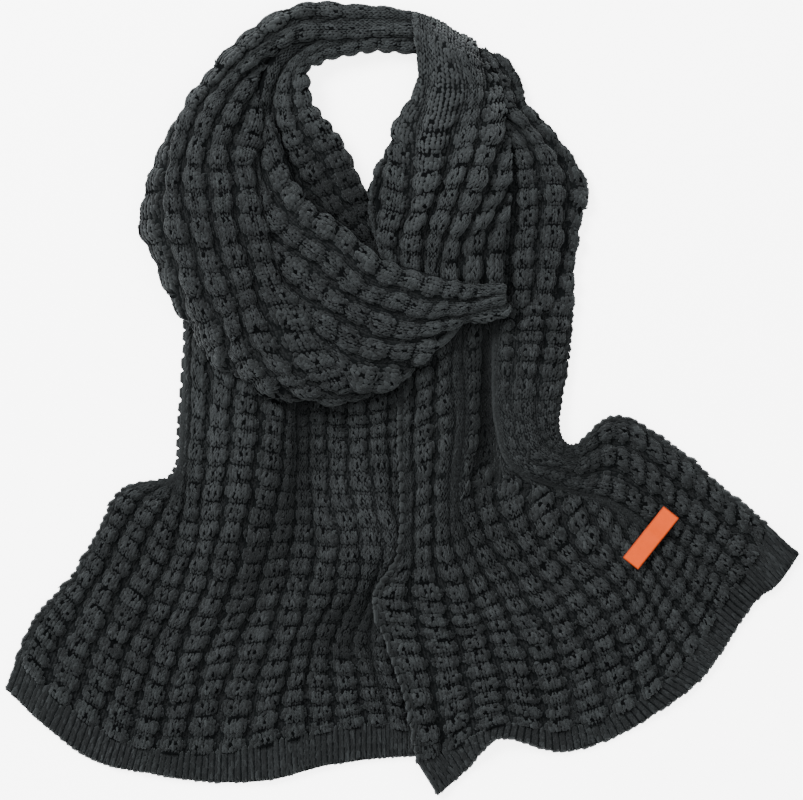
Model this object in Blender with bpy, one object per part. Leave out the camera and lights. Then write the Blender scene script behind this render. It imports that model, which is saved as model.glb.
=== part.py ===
"""Chunky ribbed knit scarf, wound once and laid out flat, at rest on Z = 0.

The cloth is one long panel of 15 ribs. Each stretch that shows is a wall of cloth of its own, lofted
through a table of sections: a row for each section along the cloth, a column for each fold line across
it, and in each cell the place of the cloth's face, under its ribs, as (x, y, z) in millimetres. The
ribs are raised on the outer face. A stretch that crosses another is lifted until it lies on it.
"""

import math

import bpy
import numpy as np
from mathutils import Vector
from mathutils.bvhtree import BVHTree

for old in list(bpy.data.objects):
    bpy.data.objects.remove(old)

MM = 0.001
CENTRE = (0.5, 0.2)  # middle of the scarf's box in the tables' frame, mm

WALL = 5.0  # thickness of the cloth between its ribs
RIB_HEIGHT = 3.0  # how far a rib stands over the cloth beside it
FULL_PITCH = 20.0  # ribs gathered closer than this stand lower, down to LEAST_RELIEF
LEAST_RELIEF = 0.2
SECTION_STEP = 19.0  # spacing of the lofted sections along the cloth
SEAM = 0.4  # clear gap between two pieces
CUFF_SEAM = 0.8  # and between a tail's last row and its cuff
DRAPE_REACH = 8.0  # cloth bridges hollows narrower than this
CUFF_RIBS = 4  # fine cuff ribs to one rib of the panel
CUFF_RIB_HEIGHT = 1.2
TAG_LENGTH, TAG_WIDTH, TAG_THICKNESS = 53.0, 16.0, 1.6
TAG_CENTRE, TAG_TURN = (199.2, -110.8), math.radians(51.7)
TAG_CORNER = 1.2
CORE_SIDES = 12  # points of the hidden core's cross-section
CORE_SQUARENESS = 0.8  # 1 is an ellipse, less is squarer
LAYER_STEP = 0.07  # how far its sides step in between two layers, as a share of its half width
LAYER_HEIGHT, LAYER_GAP = 0.5, 0.12  # where that step is, and how tall, as shares of its height
SKY = 500.0  # a height over everything

# Name, colour and roughness of each finish.
KNIT = ("knit_charcoal", (0.030, 0.036, 0.038, 1), 0.95)
HIDDEN_KNIT = ("knit_hidden", (0.018, 0.021, 0.023, 1), 0.95)
LEATHER = ("leather_tan", (0.78, 0.19, 0.06, 1), 0.5)

# Fold lines: tucked edge, rim, crown, valley, ridge, lip.
LOOP_RIBS = (-1, 0, 3, 5, 6.5, 8)
FRONT_LOOP = (
    ((15, 305, 6), (15, 308, 10), (15, 304, 13), (15, 301, 14), (14, 299, 13), (14, 297, 12)),
    ((-46, 312, 5), (-46, 316, 12), (-46, 310, 20), (-47, 305, 21), (-48, 300, 20), (-49, 295, 18)),
    ((-82, 310, 5), (-82, 315, 13), (-82, 306, 24), (-82, 298, 24), (-81, 289, 22), (-80, 281, 18)),
    ((-110, 293, 5), (-114, 298, 15), (-109, 290, 29), (-105, 284, 30), (-99, 276, 26), (-93, 269, 18)),
    ((-151, 250, 5), (-157, 255, 18), (-141, 247, 37), (-126, 241, 37), (-113, 237, 31), (-102, 234, 18)),
    ((-187, 186, 5), (-193, 189, 18), (-158, 189, 42), (-125, 192, 40), (-107, 196, 37), (-92, 201, 21)),
    ((-201, 143, 7), (-207, 146, 18), (-154, 150, 44), (-112, 158, 36), (-91, 164, 42), (-77, 175, 24)),
    ((-178, 92, 14), (-185, 92, 21), (-131, 102, 46), (-94, 110, 34), (-65, 122, 44), (-42, 137, 26)),
    ((-140, 48, 16), (-147, 44, 24), (-103, 64, 46), (-74, 78, 34), (-42, 96, 44), (-18, 116, 27)),
    ((-88, 16, 15), (-94, 7, 24), (-68, 34, 45), (-50, 52, 35), (-19, 76, 43), (5, 100, 30)),
    ((-34, 9, 15), (-35, 1, 24), (-27, 23, 42), (-18, 41, 36), (3, 65, 42), (26, 89, 31)),
    ((9, 36, 15), (13, 30, 24), (13, 42, 37), (17, 52, 35), (27, 67, 38), (45, 84, 31)),
    ((39, 58, 15), (42, 55, 23), (43, 60, 32), (46, 66, 32), (51, 73, 34), (59, 83, 29)),
    ((79, 72, 12), (81, 70, 17), (81, 73, 21), (81, 76, 22), (81, 78, 22), (81, 82, 19)),
)

# Fold lines: outer edge, middle groove, inner rim, tucked edge at the neck hole.
COLLAR_RIBS = (0, 1, 2, 2.5)
COLLAR_LEFT = (
    ((14, 297, 11), (14, 288, 12), (13, 277, 10), (13, 280, 6)),
    ((-22, 299, 14), (-22, 290, 18), (-22, 280, 13), (-22, 283, 5)),
    ((-50, 294, 14), (-48, 285, 19), (-47, 276, 13), (-47, 279, 5)),
    ((-72, 285, 14), (-69, 278, 20), (-66, 271, 13), (-68, 274, 5)),
    ((-91, 271, 14), (-83, 267, 22), (-76, 263, 14), (-79, 265, 5)),
    ((-101, 251, 15), (-88, 251, 24), (-75, 251, 15), (-79, 251, 5)),
    ((-103, 231, 16), (-87, 231, 25), (-70, 233, 15), (-75, 233, 5)),
    ((-98, 207, 16), (-78, 213, 25), (-57, 220, 15), (-61, 217, 5)),
    ((-84, 182, 15), (-64, 189, 21), (-43, 197, 13), (-47, 193, 5)),
    ((-69, 160, 12), (-51, 166, 15), (-32, 173, 10), (-36, 169, 5)),
    ((-53, 142, 8), (-39, 150, 10), (-24, 159, 7), (-27, 156, 5)),
    ((-33, 122, 6), (-22, 131, 7), (-11, 141, 6), (-13, 138, 5)),
    ((-22, 107, 6), (-12, 116, 7), (-1, 125, 6), (-3, 122, 5)),
)

# Fold lines: tucked edge and rim at the neck hole, first groove, broad rib, second groove, third groove,
# outer edge.
BAND_RIBS = (-0.5, 0, 1.4, 2.2, 3, 4.2, 6)
FRONT_RIGHT = (
    ((14, 303, 19), (9, 307, 22), (18, 308, 23), (29, 303, 22), (42, 297, 19), (53, 290, 14), (63, 283, 8)),
    ((17, 292, 20), (12, 293, 25), (19, 292, 31), (29, 289, 33),
     (42, 284, 32), (54, 278, 27), (69, 270, 17)),
    ((19, 252, 6), (14, 252, 16), (20, 249, 30), (31, 246, 37),
     (50, 246, 36), (62, 246, 33), (78, 248, 19)),
    ((4, 221, 6), (-2, 223, 14), (10, 217, 28), (24, 213, 38), (43, 215, 35), (62, 216, 36), (83, 220, 20)),
    ((-9, 189, 6), (-15, 192, 14), (8, 185, 26), (21, 182, 37),
     (34, 182, 34), (54, 185, 36), (87, 185, 20)),
    ((-18, 161, 14), (-25, 163, 19), (5, 155, 26), (14, 153, 34),
     (26, 155, 33), (44, 155, 35), (86, 160, 20)),
    ((-15, 136, 16), (-22, 137, 21), (-2, 128, 25), (8, 125, 29),
     (18, 125, 29), (34, 125, 31), (82, 131, 20)),
    ((-6, 109, 18), (-13, 110, 20), (0, 102, 22), (9, 98, 23), (19, 95, 23), (38, 90, 24), (80, 88, 19)),
    ((2, 96, 17), (-4, 96, 18), (7, 90, 19), (17, 86, 20), (27, 82, 20), (45, 78, 20), (76, 75, 17)),
)

# Fold lines: edge under the front band, inner groove, middle groove, outer groove, selvedge.
SHOULDER_RIBS = (0, 1, 2, 3, 3.5)
RIGHT_SHOULDER = (
    ((60, 281, 6), (66, 280, 6), (72, 278, 6), (77, 276, 6), (81, 274, 5)),
    ((69, 254, 7), (76, 255, 8), (84, 255, 11), (90, 255, 9), (94, 255, 5)),
    ((72, 234, 7), (79, 234, 8), (88, 235, 12), (94, 236, 10), (98, 237, 5)),
    ((73, 216, 7), (81, 217, 9), (96, 217, 13), (108, 218, 11), (115, 219, 5)),
    ((74, 198, 7), (84, 198, 9), (102, 199, 14), (119, 199, 12), (131, 199, 5)),
    ((76, 176, 7), (88, 176, 9), (108, 176, 14), (130, 175, 12), (147, 174, 5)),
    ((76, 138, 7), (87, 139, 8), (109, 140, 14), (128, 140, 12), (142, 139, 5)),
    ((75, 104, 7), (87, 105, 8), (108, 105, 14), (126, 105, 11), (137, 105, 5)),
    ((73, 75.2, 7), (84, 75.2, 9), (106, 75.2, 15), (124, 75.2, 11), (136, 75.2, 5)),
)

# Fold lines: selvedge, first and second rib of the centre fold, its far side, foot of the deep fold,
# shoulder fold, its crest, outer selvedge. The last row is the end of the cuff.
RIGHT_RIBS = (0, 1.3, 2.5, 4.5, 8, 12, 13.5, 15)
RIGHT_TAIL = (
    ((-5, 24, 7), (13, 40, 9), (29, 52, 9), (50, 68, 8),
     (62, 73, 6), (74, 75, 8), (101, 75, 15), (136, 75, 5)),
    ((-2, -4, 8), (14, 12, 15), (34, 21, 18), (55, 27, 14),
     (65, 30, 6), (72, 32, 12), (98, 32, 18), (133, 34, 6)),
    ((-2, -40, 8), (13, -32, 16), (36, -26, 19), (55, -23, 16),
     (64, -20, 5), (72, -16, 14), (96, -12, 19), (127, -7, 8)),
    ((0, -84, 8), (14, -78, 15), (33, -74, 18), (49, -72, 15),
     (69, -63, 5), (88, -52, 12), (110, -42, 18), (127, -29, 10)),
    ((-4, -128, 10), (13, -125, 14), (34, -119, 15), (59, -110, 11),
     (100, -92, 7), (130, -71, 9), (142, -52, 16), (140, -36, 12)),
    ((-22, -156, 15), (16, -160, 10), (46, -158, 10), (80, -146, 8),
     (129, -118, 7), (162, -78, 7), (170, -44, 17), (168, -14, 13)),
    ((-10, -200, 15), (27, -199, 7), (58, -195, 6), (107, -191, 7),
     (176, -158, 5), (206, -104, 6), (216, -76, 8), (216, -36, 7)),
    ((5, -247, 14), (35, -240, 6), (68, -234, 8), (121, -231, 5),
     (197, -195, 6), (238, -128, 5), (251, -103, 6), (256, -70, 5)),
    ((13, -291, 13), (40, -282, 5), (74, -263, 13), (128, -267, 5),
     (213, -228, 6), (268, -152, 5), (284, -129, 6), (293, -100, 5)),
    ((29, -318, 7), (51, -298, 5), (73, -272, 14), (130, -282, 5),
     (226, -236, 6), (282, -164, 5), (302, -148, 6), (319, -124, 5)),
)

# Fold lines: selvedge, outer ribs, fold that the upper ribs come out of, crest of the broad ridge, its
# far side, deep valley, second ridge, its far side, edge under the right tail.
LEFT_RIBS = (0, 1.5, 3, 5, 7, 8.5, 10.5, 12.5, 14)
LEFT_TAIL = (
    ((-173, 80, 5), (-171, 80, 6), (-168, 78, 7), (-133, 44, 9), (-96, 20, 9),
     (-82, 16, 7), (-53, 12, 9), (-22, 16, 11), (-2, 22, 5)),
    ((-174, 40, 5), (-173, 40, 10), (-169, 38, 14), (-134, 12, 18), (-94, -4, 13),
     (-81, -7, 5), (-53, -8, 11), (-19, -7, 15), (4, -2, 5)),
    ((-178, -16, 5), (-176, -16, 11), (-170, -18, 16), (-137, -26, 22), (-94, -34, 15),
     (-80, -34, 5), (-52, -34, 11), (-18, -34, 16), (5, -32, 5)),
    ((-184, -60, 6), (-181, -61, 11), (-173, -64, 15), (-141, -68, 21), (-98, -72, 13),
     (-80, -74, 5), (-50, -74, 13), (-15, -76, 16), (7, -76, 5)),
    ((-224, -72, 5), (-203, -87, 9), (-179, -104, 7), (-148, -111, 17), (-106, -112, 11),
     (-79, -112, 6), (-42, -114, 17), (-8, -116, 14), (8, -116, 5)),
    ((-244, -107, 5), (-222, -124, 7), (-194, -144, 5), (-159, -154, 12), (-116, -155, 8),
     (-85, -152, 11), (-46, -154, 15), (-20, -158, 8), (-5, -160, 5)),
    ((-265, -142, 5), (-243, -163, 7), (-214, -186, 6), (-178, -199, 8), (-131, -196, 5),
     (-94, -192, 11), (-64, -192, 8), (-31, -196, 6), (-8, -199, 5)),
    ((-294, -175, 5), (-262, -203, 6), (-230, -227, 6), (-189, -243, 7), (-144, -240, 5),
     (-106, -236, 8), (-67, -232, 6), (-24, -232, 6), (1, -234, 5)),
    ((-310, -209, 5), (-277, -242, 6), (-243, -267, 5), (-198, -283, 7), (-150, -285, 5),
     (-111, -279, 7), (-63, -268, 6), (-18, -263, 5), (10, -267, 5)),
    ((-318, -232, 5), (-286, -262, 6), (-250, -288, 5), (-202, -300, 6), (-151, -307, 5),
     (-110, -306, 6), (-62, -294, 6), (-18, -288, 5), (10, -286, 5)),
)

# The wrap's hidden layers, one ring round the neck hole: (centre x, centre y, half width, height).
HIDDEN_RING = (
    (-30, 298, 9, 7),
    (-78, 290, 9, 9),
    (-114, 258, 15, 18),
    (-139, 214, 24, 28),
    (-142, 168, 36, 29),
    (-130, 124, 37, 29),
    (-94, 80, 34, 29),
    (-44, 56, 28, 28),
    (4, 72, 20, 14),
    (36, 128, 26, 18),
    (40, 176, 29, 26),
    (44, 222, 27, 28),
    (38, 262, 15, 20),
    (16, 290, 9, 8),
)


# ---- Lofting --------------------------------------------------------------------------------------


def through(knots, values, at):
    """A smooth curve through values at the knots, read at the places `at`; values may be points."""
    knots, values, at = (np.asarray(a, float) for a in (knots, values, at))
    gaps = np.diff(knots)
    shape = (-1,) + (1,) * (values.ndim - 1)
    slopes = np.diff(values, axis=0) / gaps.reshape(shape)
    before, after = gaps[:-1].reshape(shape), gaps[1:].reshape(shape)
    inner = (slopes[:-1] * after + slopes[1:] * before) / (before + after)
    tangents = np.concatenate([slopes[:1], inner, slopes[-1:]])
    i = np.clip(np.searchsorted(knots, at, side="right") - 1, 0, len(gaps) - 1)
    h = gaps[i].reshape(shape)
    t = ((at - knots[i]) / gaps[i]).reshape(shape)
    return (
        values[i] * (2 * t**3 - 3 * t**2 + 1)
        + tangents[i] * h * (t**3 - 2 * t**2 + t)
        + values[i + 1] * (3 * t**2 - 2 * t**3)
        + tangents[i + 1] * h * (t**3 - t**2)
    )


def lofted(sections, fold_ribs, ribs, step=SECTION_STEP):
    """The cloth's face as a grid of points: sections about `step` apart, and a point at each rib place."""
    sections = np.asarray(sections, float)
    spacing = np.linalg.norm(np.diff(sections, axis=0), axis=2).mean(axis=1)
    along = np.concatenate([[0], np.cumsum(spacing)])
    places = np.linspace(0, along[-1], max(2, round(along[-1] / step) + 1))
    lines = through(along, sections, places)
    across = through(fold_ribs, lines.transpose(1, 0, 2), ribs)
    return across.transpose(1, 0, 2)


def normals(grid):
    """Upward unit normals of a grid of points, square to the cloth's run at its two ends."""
    along, across = np.gradient(grid, axis=0), np.gradient(grid, axis=1)
    along[0, :, 2] = along[-1, :, 2] = 0
    n = np.cross(across, -along)
    n *= np.sign(n[..., 2:].sum())
    return n / np.maximum(np.linalg.norm(n, axis=2, keepdims=True), 1e-9)


def rib_relief(grid, ribs):
    """How far the outer face stands over the grid: most at half ribs, nothing in grooves and at edges."""
    pitch = np.linalg.norm(np.gradient(grid, axis=1), axis=2) / np.gradient(ribs)
    relief = RIB_HEIGHT * np.sin(np.pi * ribs) ** 2 * np.clip(pitch / FULL_PITCH, LEAST_RELIEF, 1)
    relief[:, [0, -1]] = 0
    return relief[..., None]


# ---- Solids ---------------------------------------------------------------------------------------

collection = bpy.data.collections.new("Knit_Scarf")
bpy.context.scene.collection.children.link(collection)
materials = {}


def material(name, colour, roughness):
    if name not in materials:
        made = bpy.data.materials.new(name)
        made.use_nodes = True
        shader = made.node_tree.nodes["Principled BSDF"]
        shader.inputs["Base Color"].default_value = colour
        shader.inputs["Roughness"].default_value = roughness
        shader.inputs["Metallic"].default_value = 0
        made.diffuse_color = colour
        materials[name] = made
    return materials[name]


def add_object(name, points, faces, finish):
    """Makes one named object from points in millimetres."""
    mesh = bpy.data.meshes.new(name)
    placed = (np.asarray(points, float) - (*CENTRE, 0)) * MM
    mesh.from_pydata(placed.tolist(), [], [list(map(int, face)) for face in faces])
    mesh.shade_smooth()
    mesh.materials.append(material(*finish))
    made = bpy.data.objects.new(name, mesh)
    collection.objects.link(made)
    return made


def closed_wall(outer, inner):
    """Points and faces of the closed solid between two grids of the same size."""
    rows, columns = outer.shape[:2]
    index = np.arange(rows * columns).reshape(rows, columns)

    def quads(a):
        corners = (a[:-1, :-1], a[:-1, 1:], a[1:, 1:], a[1:, :-1])
        return np.stack([c.ravel() for c in corners], axis=1)

    top, bottom = quads(index), quads(index + index.size)[:, ::-1]
    loop = np.concatenate([index[0], index[1:, -1], index[-1, -2::-1], index[-2:0:-1, 0]])
    ahead = np.roll(loop, -1)
    sides = np.stack([ahead, loop, loop + index.size, ahead + index.size], axis=1)
    points = np.concatenate([outer.reshape(-1, 3), inner.reshape(-1, 3)])
    faces = np.concatenate([top, bottom, sides])
    a, b, c = (points[top[:, k]] for k in range(3))
    if np.cross(b - a, c - a)[:, 2].sum() < 0:
        faces = faces[:, ::-1]
    return points, faces


def tree_of(made):
    """A search tree of a finished object, in millimetres of the tables' frame."""
    points = [(v.co.x / MM + CENTRE[0], v.co.y / MM + CENTRE[1], v.co.z / MM) for v in made.data.vertices]
    return BVHTree.FromPolygons(points, [list(p.vertices) for p in made.data.polygons])


def highest(tree, x, y, reach):
    """The highest point of a tree within reach of a place, seen from above, or 0."""
    ring = [(0, 0)]
    if reach:
        ring += [
            (r * math.cos(a), r * math.sin(a))
            for r in (reach / 2, reach)
            for a in np.linspace(0, 2 * math.pi, 9)[:-1]
        ]
    top = 0.0
    for dx, dy in ring:
        hit = tree.ray_cast(Vector((x + dx, y + dy, SKY)), Vector((0, 0, -1)))[0]
        if hit is not None:
            top = max(top, hit.z)
    return top


def lifted(grid, supports):
    """The grid raised where its inner face would meet what lies under it."""
    inner, rise = inner_face(grid), np.zeros(grid.shape[:2])
    for made, reach in supports:
        tree = tree_of(made)
        for at in np.ndindex(rise.shape):
            x, y, z = inner[at]
            top = highest(tree, x, y, reach)
            if top > 0:
                rise[at] = max(rise[at], top + SEAM - z)
    eased = rise.copy()
    for _ in range(2):
        eased[1:-1] = (eased[:-2] + 2 * eased[1:-1] + eased[2:]) / 4
        eased[:, 1:-1] = (eased[:, :-2] + 2 * eased[:, 1:-1] + eased[:, 2:]) / 4
    out = grid.copy()
    out[..., 2] += np.maximum(rise, eased)
    return out


def inner_face(grid):
    """The plain inner face, one wall under the grid and flat where it meets the floor."""
    inner = grid - normals(grid) * WALL
    inner[..., 2] = np.maximum(inner[..., 2], 0)
    return inner


def cloth(name, sections, fold_ribs, supports=()):
    """One stretch of cloth, with a groove at each whole rib place and a crest half way between."""
    ribs = np.array(sorted({fold_ribs[0], fold_ribs[-1], *np.arange(0, fold_ribs[-1], 0.5)}))
    grid = lifted(lofted(sections, fold_ribs, ribs), supports)
    outer = grid + normals(grid) * rib_relief(grid, ribs)
    return add_object(name, *closed_wall(outer, inner_face(grid)), KNIT)


def cuff(name, sections, fold_ribs, supports=()):
    """The fine-ribbed cuff between a tail's last two sections, one seam away from the tail."""
    panel_ribs = np.arange(0, fold_ribs[-1] + 0.5, 0.5)
    start, end = (through(fold_ribs, row, panel_ribs) for row in sections[-2:])
    start = start + (end - start) * CUFF_SEAM / np.linalg.norm((end - start)[:, :2], axis=1, keepdims=True)
    fine_ribs = np.linspace(0, fold_ribs[-1], 2 * CUFF_RIBS * fold_ribs[-1] + 1)
    edges = [[np.interp(fine_ribs, panel_ribs, row[:, k]) for k in range(3)] for row in (start, end)]
    grid = lifted(np.array(edges).transpose(0, 2, 1), supports)
    crest = CUFF_RIB_HEIGHT * np.sin(np.pi * fine_ribs * CUFF_RIBS)[:, None] ** 2
    outer, inner = grid + crest * (0, 0, 1), grid - (0, 0, WALL)
    inner[..., 2] = np.maximum(inner[..., 2], 0)
    return add_object(name, *closed_wall(outer, inner), KNIT)


def hidden_core(name, ring):
    """The rounded solid of the layers inside the wrap, with a step between two layers on its sides."""
    sections = np.asarray(ring, float)
    turns = np.arange(-2, len(sections) + 3)
    steps = np.arange(0, len(sections), 0.5)
    x, y, half, height = through(turns, sections[turns % len(sections)], steps).T
    heading = np.stack([np.roll(x, -1) - np.roll(x, 1), np.roll(y, -1) - np.roll(y, 1)], axis=1)
    heading /= np.linalg.norm(heading, axis=1, keepdims=True)
    arc = np.linspace(0, math.pi, CORE_SIDES)
    step_in = 1 - LAYER_STEP * np.exp(-(((np.sin(arc) - LAYER_HEIGHT) / LAYER_GAP) ** 2))
    out = np.outer(half, np.cos(arc) * step_in)
    up = np.outer(height, np.sin(arc).clip(0) ** CORE_SQUARENESS)
    rows = np.stack([x[:, None] + heading[:, 1:] * out, y[:, None] - heading[:, :1] * out, up], axis=2)
    index = np.arange(rows.size // 3).reshape(rows.shape[:2])
    ahead, beside = np.roll(index, -1, axis=0), np.roll(index, -1, axis=1)
    faces = np.stack([index, ahead, np.roll(ahead, -1, axis=1), beside], axis=2).reshape(-1, 4)
    return add_object(name, rows.reshape(-1, 3), faces, HIDDEN_KNIT)


def leather_tag(name, panel):
    """The tag: a thin plate with eased corners, bent over the crests under it."""
    half_length, half_width = TAG_LENGTH / 2, TAG_WIDTH / 2
    shoulders = np.linspace(TAG_CORNER - half_length, half_length - TAG_CORNER, 8)
    along = np.array([-half_length, *shoulders, half_length])
    half_widths = np.array([half_width - TAG_CORNER, *[half_width] * 8, half_width - TAG_CORNER])
    u, v = np.outer((1, 1, 1), along), np.outer((-1, 0, 1), half_widths)
    x = TAG_CENTRE[0] + u * math.cos(TAG_TURN) - v * math.sin(TAG_TURN)
    y = TAG_CENTRE[1] + u * math.sin(TAG_TURN) + v * math.cos(TAG_TURN)
    tree = tree_of(panel)
    crest = np.array([[highest(tree, *place, DRAPE_REACH) for place in zip(*row)] for row in zip(x, y)])
    rest = np.broadcast_to(crest.max(axis=0), crest.shape) + SEAM
    plate = np.stack([x, y, rest], axis=2)
    return add_object(name, *closed_wall(plate + (0, 0, TAG_THICKNESS), plate), LEATHER)


# ---- The scarf, from its lowest stretch up --------------------------------------------------------

left_tail = cloth("left_tail", LEFT_TAIL[:-1], LEFT_RIBS)
left_hem = cuff("left_hem", LEFT_TAIL, LEFT_RIBS)
beneath = [(left_tail, DRAPE_REACH), (left_hem, DRAPE_REACH)]
right_tail = cloth("right_tail", RIGHT_TAIL[:-1], RIGHT_RIBS, beneath)
right_hem = cuff("right_hem", RIGHT_TAIL, RIGHT_RIBS, [(left_hem, DRAPE_REACH)])
right_shoulder = cloth("right_shoulder", RIGHT_SHOULDER, SHOULDER_RIBS)
hidden_wraps = hidden_core("hidden_wraps", HIDDEN_RING)
collar_left = cloth("collar_left", COLLAR_LEFT, COLLAR_RIBS, [(hidden_wraps, 0)])
beneath = [(hidden_wraps, 0), (collar_left, DRAPE_REACH), (right_shoulder, DRAPE_REACH)]
front_right = cloth("front_right", FRONT_RIGHT, BAND_RIBS, beneath)
beneath += [(front_right, DRAPE_REACH), (left_tail, DRAPE_REACH), (right_tail, DRAPE_REACH)]
front_loop = cloth("front_loop", FRONT_LOOP, LOOP_RIBS, beneath)
leather_tag("leather_tag", right_tail)
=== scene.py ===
"""Chunky ribbed knit scarf, wound once and laid out flat: yarn, cuffs, tag and studio on its frame.

The scarf's plan is in millimetres: x to the right, y towards the back of the neck, z up from the floor.
"""

import math

import bpy
import numpy as np
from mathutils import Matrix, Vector
from mathutils.bvhtree import BVHTree


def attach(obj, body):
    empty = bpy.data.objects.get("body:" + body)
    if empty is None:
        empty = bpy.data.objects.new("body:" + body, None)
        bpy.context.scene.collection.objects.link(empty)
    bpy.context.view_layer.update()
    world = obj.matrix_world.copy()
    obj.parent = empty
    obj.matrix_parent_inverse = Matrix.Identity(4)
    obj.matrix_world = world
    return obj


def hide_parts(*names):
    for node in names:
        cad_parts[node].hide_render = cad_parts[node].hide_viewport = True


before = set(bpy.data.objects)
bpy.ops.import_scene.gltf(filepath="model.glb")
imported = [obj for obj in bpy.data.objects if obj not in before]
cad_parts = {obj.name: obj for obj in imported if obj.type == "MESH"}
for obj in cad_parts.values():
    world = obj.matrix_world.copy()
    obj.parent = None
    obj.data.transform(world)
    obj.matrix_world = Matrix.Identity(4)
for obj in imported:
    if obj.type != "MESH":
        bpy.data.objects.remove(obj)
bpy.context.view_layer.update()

# ==== Left tail ====
# The hanging end that lies lowest. It is the whole panel of 15 ribs, knitted in rows of puffs, and it
# falls from under the wound part in three soft folds and fans out over the floor.

MM = 0.001
PLAN_CENTRE = (0.5, 0.2)  # the frame's origin in the plan

# Columns are fold lines: selvedge, outer ribs, fold that the upper ribs come out of, crest of the broad
# ridge, its far side, deep valley, second ridge, its far side, two under the right tail. Rows run down
# the tail, and the last is the end of its cuff.
LEFT_RIBS = (0, 1.5, 3, 5, 7, 8.5, 10.5, 12.5, 14, 15)
LEFT_TAIL = (
    ((-173, 110, 5), (-171, 110, 5), (-166, 108, 6), (-125, 80, 7), (-88, 52, 7),
     (-75, 48, 6), (-48, 44, 6), (-18, 46, 6), (0, 50, 5), (14, 54, 2)),
    ((-174, 40, 5), (-173, 40, 10), (-169, 38, 14), (-134, 12, 18), (-94, -4, 13),
     (-81, -7, 5), (-53, -8, 11), (-19, -7, 15), (4, -2, 5), (30, 2, 2)),
    ((-178, -16, 5), (-176, -16, 11), (-170, -18, 16), (-137, -26, 22), (-94, -34, 15),
     (-80, -34, 5), (-52, -34, 11), (-18, -34, 16), (5, -32, 5), (38, -30, 2)),
    ((-184, -60, 6), (-181, -61, 11), (-173, -64, 15), (-141, -68, 21), (-98, -72, 13),
     (-80, -74, 5), (-50, -74, 13), (-15, -76, 16), (7, -76, 5), (42, -76, 2)),
    ((-224, -72, 5), (-203, -87, 9), (-179, -104, 7), (-148, -111, 17), (-106, -112, 11),
     (-79, -112, 6), (-42, -114, 19), (-8, -116, 17), (8, -116, 7), (42, -117, 2)),
    ((-244, -107, 5), (-222, -124, 7), (-194, -144, 5), (-159, -154, 12), (-116, -155, 8),
     (-85, -152, 11), (-46, -154, 10), (-20, -158, 4), (-5, -160, 4), (38, -164, 2)),
    ((-265, -142, 5), (-243, -163, 7), (-214, -186, 6), (-178, -199, 8), (-131, -196, 5),
     (-94, -192, 11), (-64, -192, 6), (-31, -196, 4), (-8, -199, 5), (38, -203, 2)),
    ((-294, -175, 5), (-262, -203, 6), (-230, -227, 6), (-189, -243, 7), (-144, -240, 5),
     (-106, -236, 8), (-67, -232, 6), (-24, -232, 6), (1, -234, 5), (44, -237, 2)),
    ((-310, -209, 5), (-277, -242, 6), (-243, -267, 5), (-198, -283, 7), (-150, -285, 5),
     (-111, -279, 7), (-63, -268, 6), (-18, -263, 5), (10, -267, 5), (48, -268, 2)),
    ((-318, -232, 5), (-286, -262, 6), (-250, -288, 5), (-202, -300, 6), (-151, -307, 5),
     (-110, -306, 6), (-62, -294, 6), (-18, -288, 5), (10, -286, 5), (44, -284, 2)),
)
# Spots, here and below: rib and course, how far it reaches in ribs and courses, what is left of the puffs,
# and how much lighter it is painted: painted light where the cloth is stretched and open to the lamps,
# painted shade where it lies deep in a fold. Smooth under the right tail, stretched and with painted light
# on the second ridge, painted shade in a hollow below it and in three spots down the deep valley, and
# painted light on the broad ridge.
LEFT_SPOTS = (
    (15.0, 12.0, 0.9, 60.0, 0.0, 0),
    (11.6, 10.5, 1.6, 4.0, 0.4, 0.4),
    (11.8, 17.0, 1.5, 2.0, 0.8, -0.9),
    (8.3, 4.5, 0.9, 3.5, 0.9, -0.8),
    (7.6, 9.5, 0.9, 3.0, 0.9, -0.7),
    (6.7, 13.5, 0.9, 2.5, 0.9, -0.5),
    (4.5, 8.0, 1.3, 5.0, 0.8, 0.3),
)
TAIL_COURSES = (16.0, 12.5)  # height of a puff at a tail's top and at its end

WALL = 5.0  # thickness of a stretch that lies on the floor
LAPPED_WALL, LAPPED_RISE = 3.5, 3.0  # and of one that lies on another, once lifted this far
EDGE_ROUND = 2.4  # how far in from its edges a stretch rounds off
SQUARE_ROUND = 0.3  # and at an end that runs on into the next piece
LAID_RIB, LAID_COURSE = 22.0, 16.0  # about what a rib and a course measure as laid
RIB_CUTS, COURSE_CUTS = 8, 5  # mesh points to a rib and to a course
PUFF_HEIGHT, PUFF_SINK = 7.4, 3.0  # a puff's crest over its groove, and how far the groove is sunk
ACROSS_SHAPE, ALONG_SHAPE = 4.2, 3.0  # how square a puff is across and along
GROOVE, NECK = 1.0, 0.5  # how wide the grooves are, and how far a rib narrows between two puffs
DOME = 0.52  # 0.5 is a ball's profile, 1 a cone's
FLAT_PITCH, FULL_PITCH = 6.0, 17.0  # ribs gathered closer than the first lie flat
PUFF_UNEVEN, RIB_WANDER, COURSE_WANDER = 0.12, 0.05, 0.14  # how irregular the knitting is
LIFT_STEP, LIFT_RIBS = 19.0, 0.5  # how far apart a stretch is lifted, along it and in ribs across it
SEAM, DRAPE_REACH = 0.4, 8.0  # gap over what carries it, and how far it bridges
NUDGE = 0.02  # step for slopes, in ribs and courses
SKY, FLOOR_GAP = 500.0, 0.05  # where looks down start, and the lowest a point may lie
GROUND_SHADE = 0.2  # added to the ground cloth's shade, before its painted shade on the crests is taken away
NOTHING = 1e-9


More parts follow.
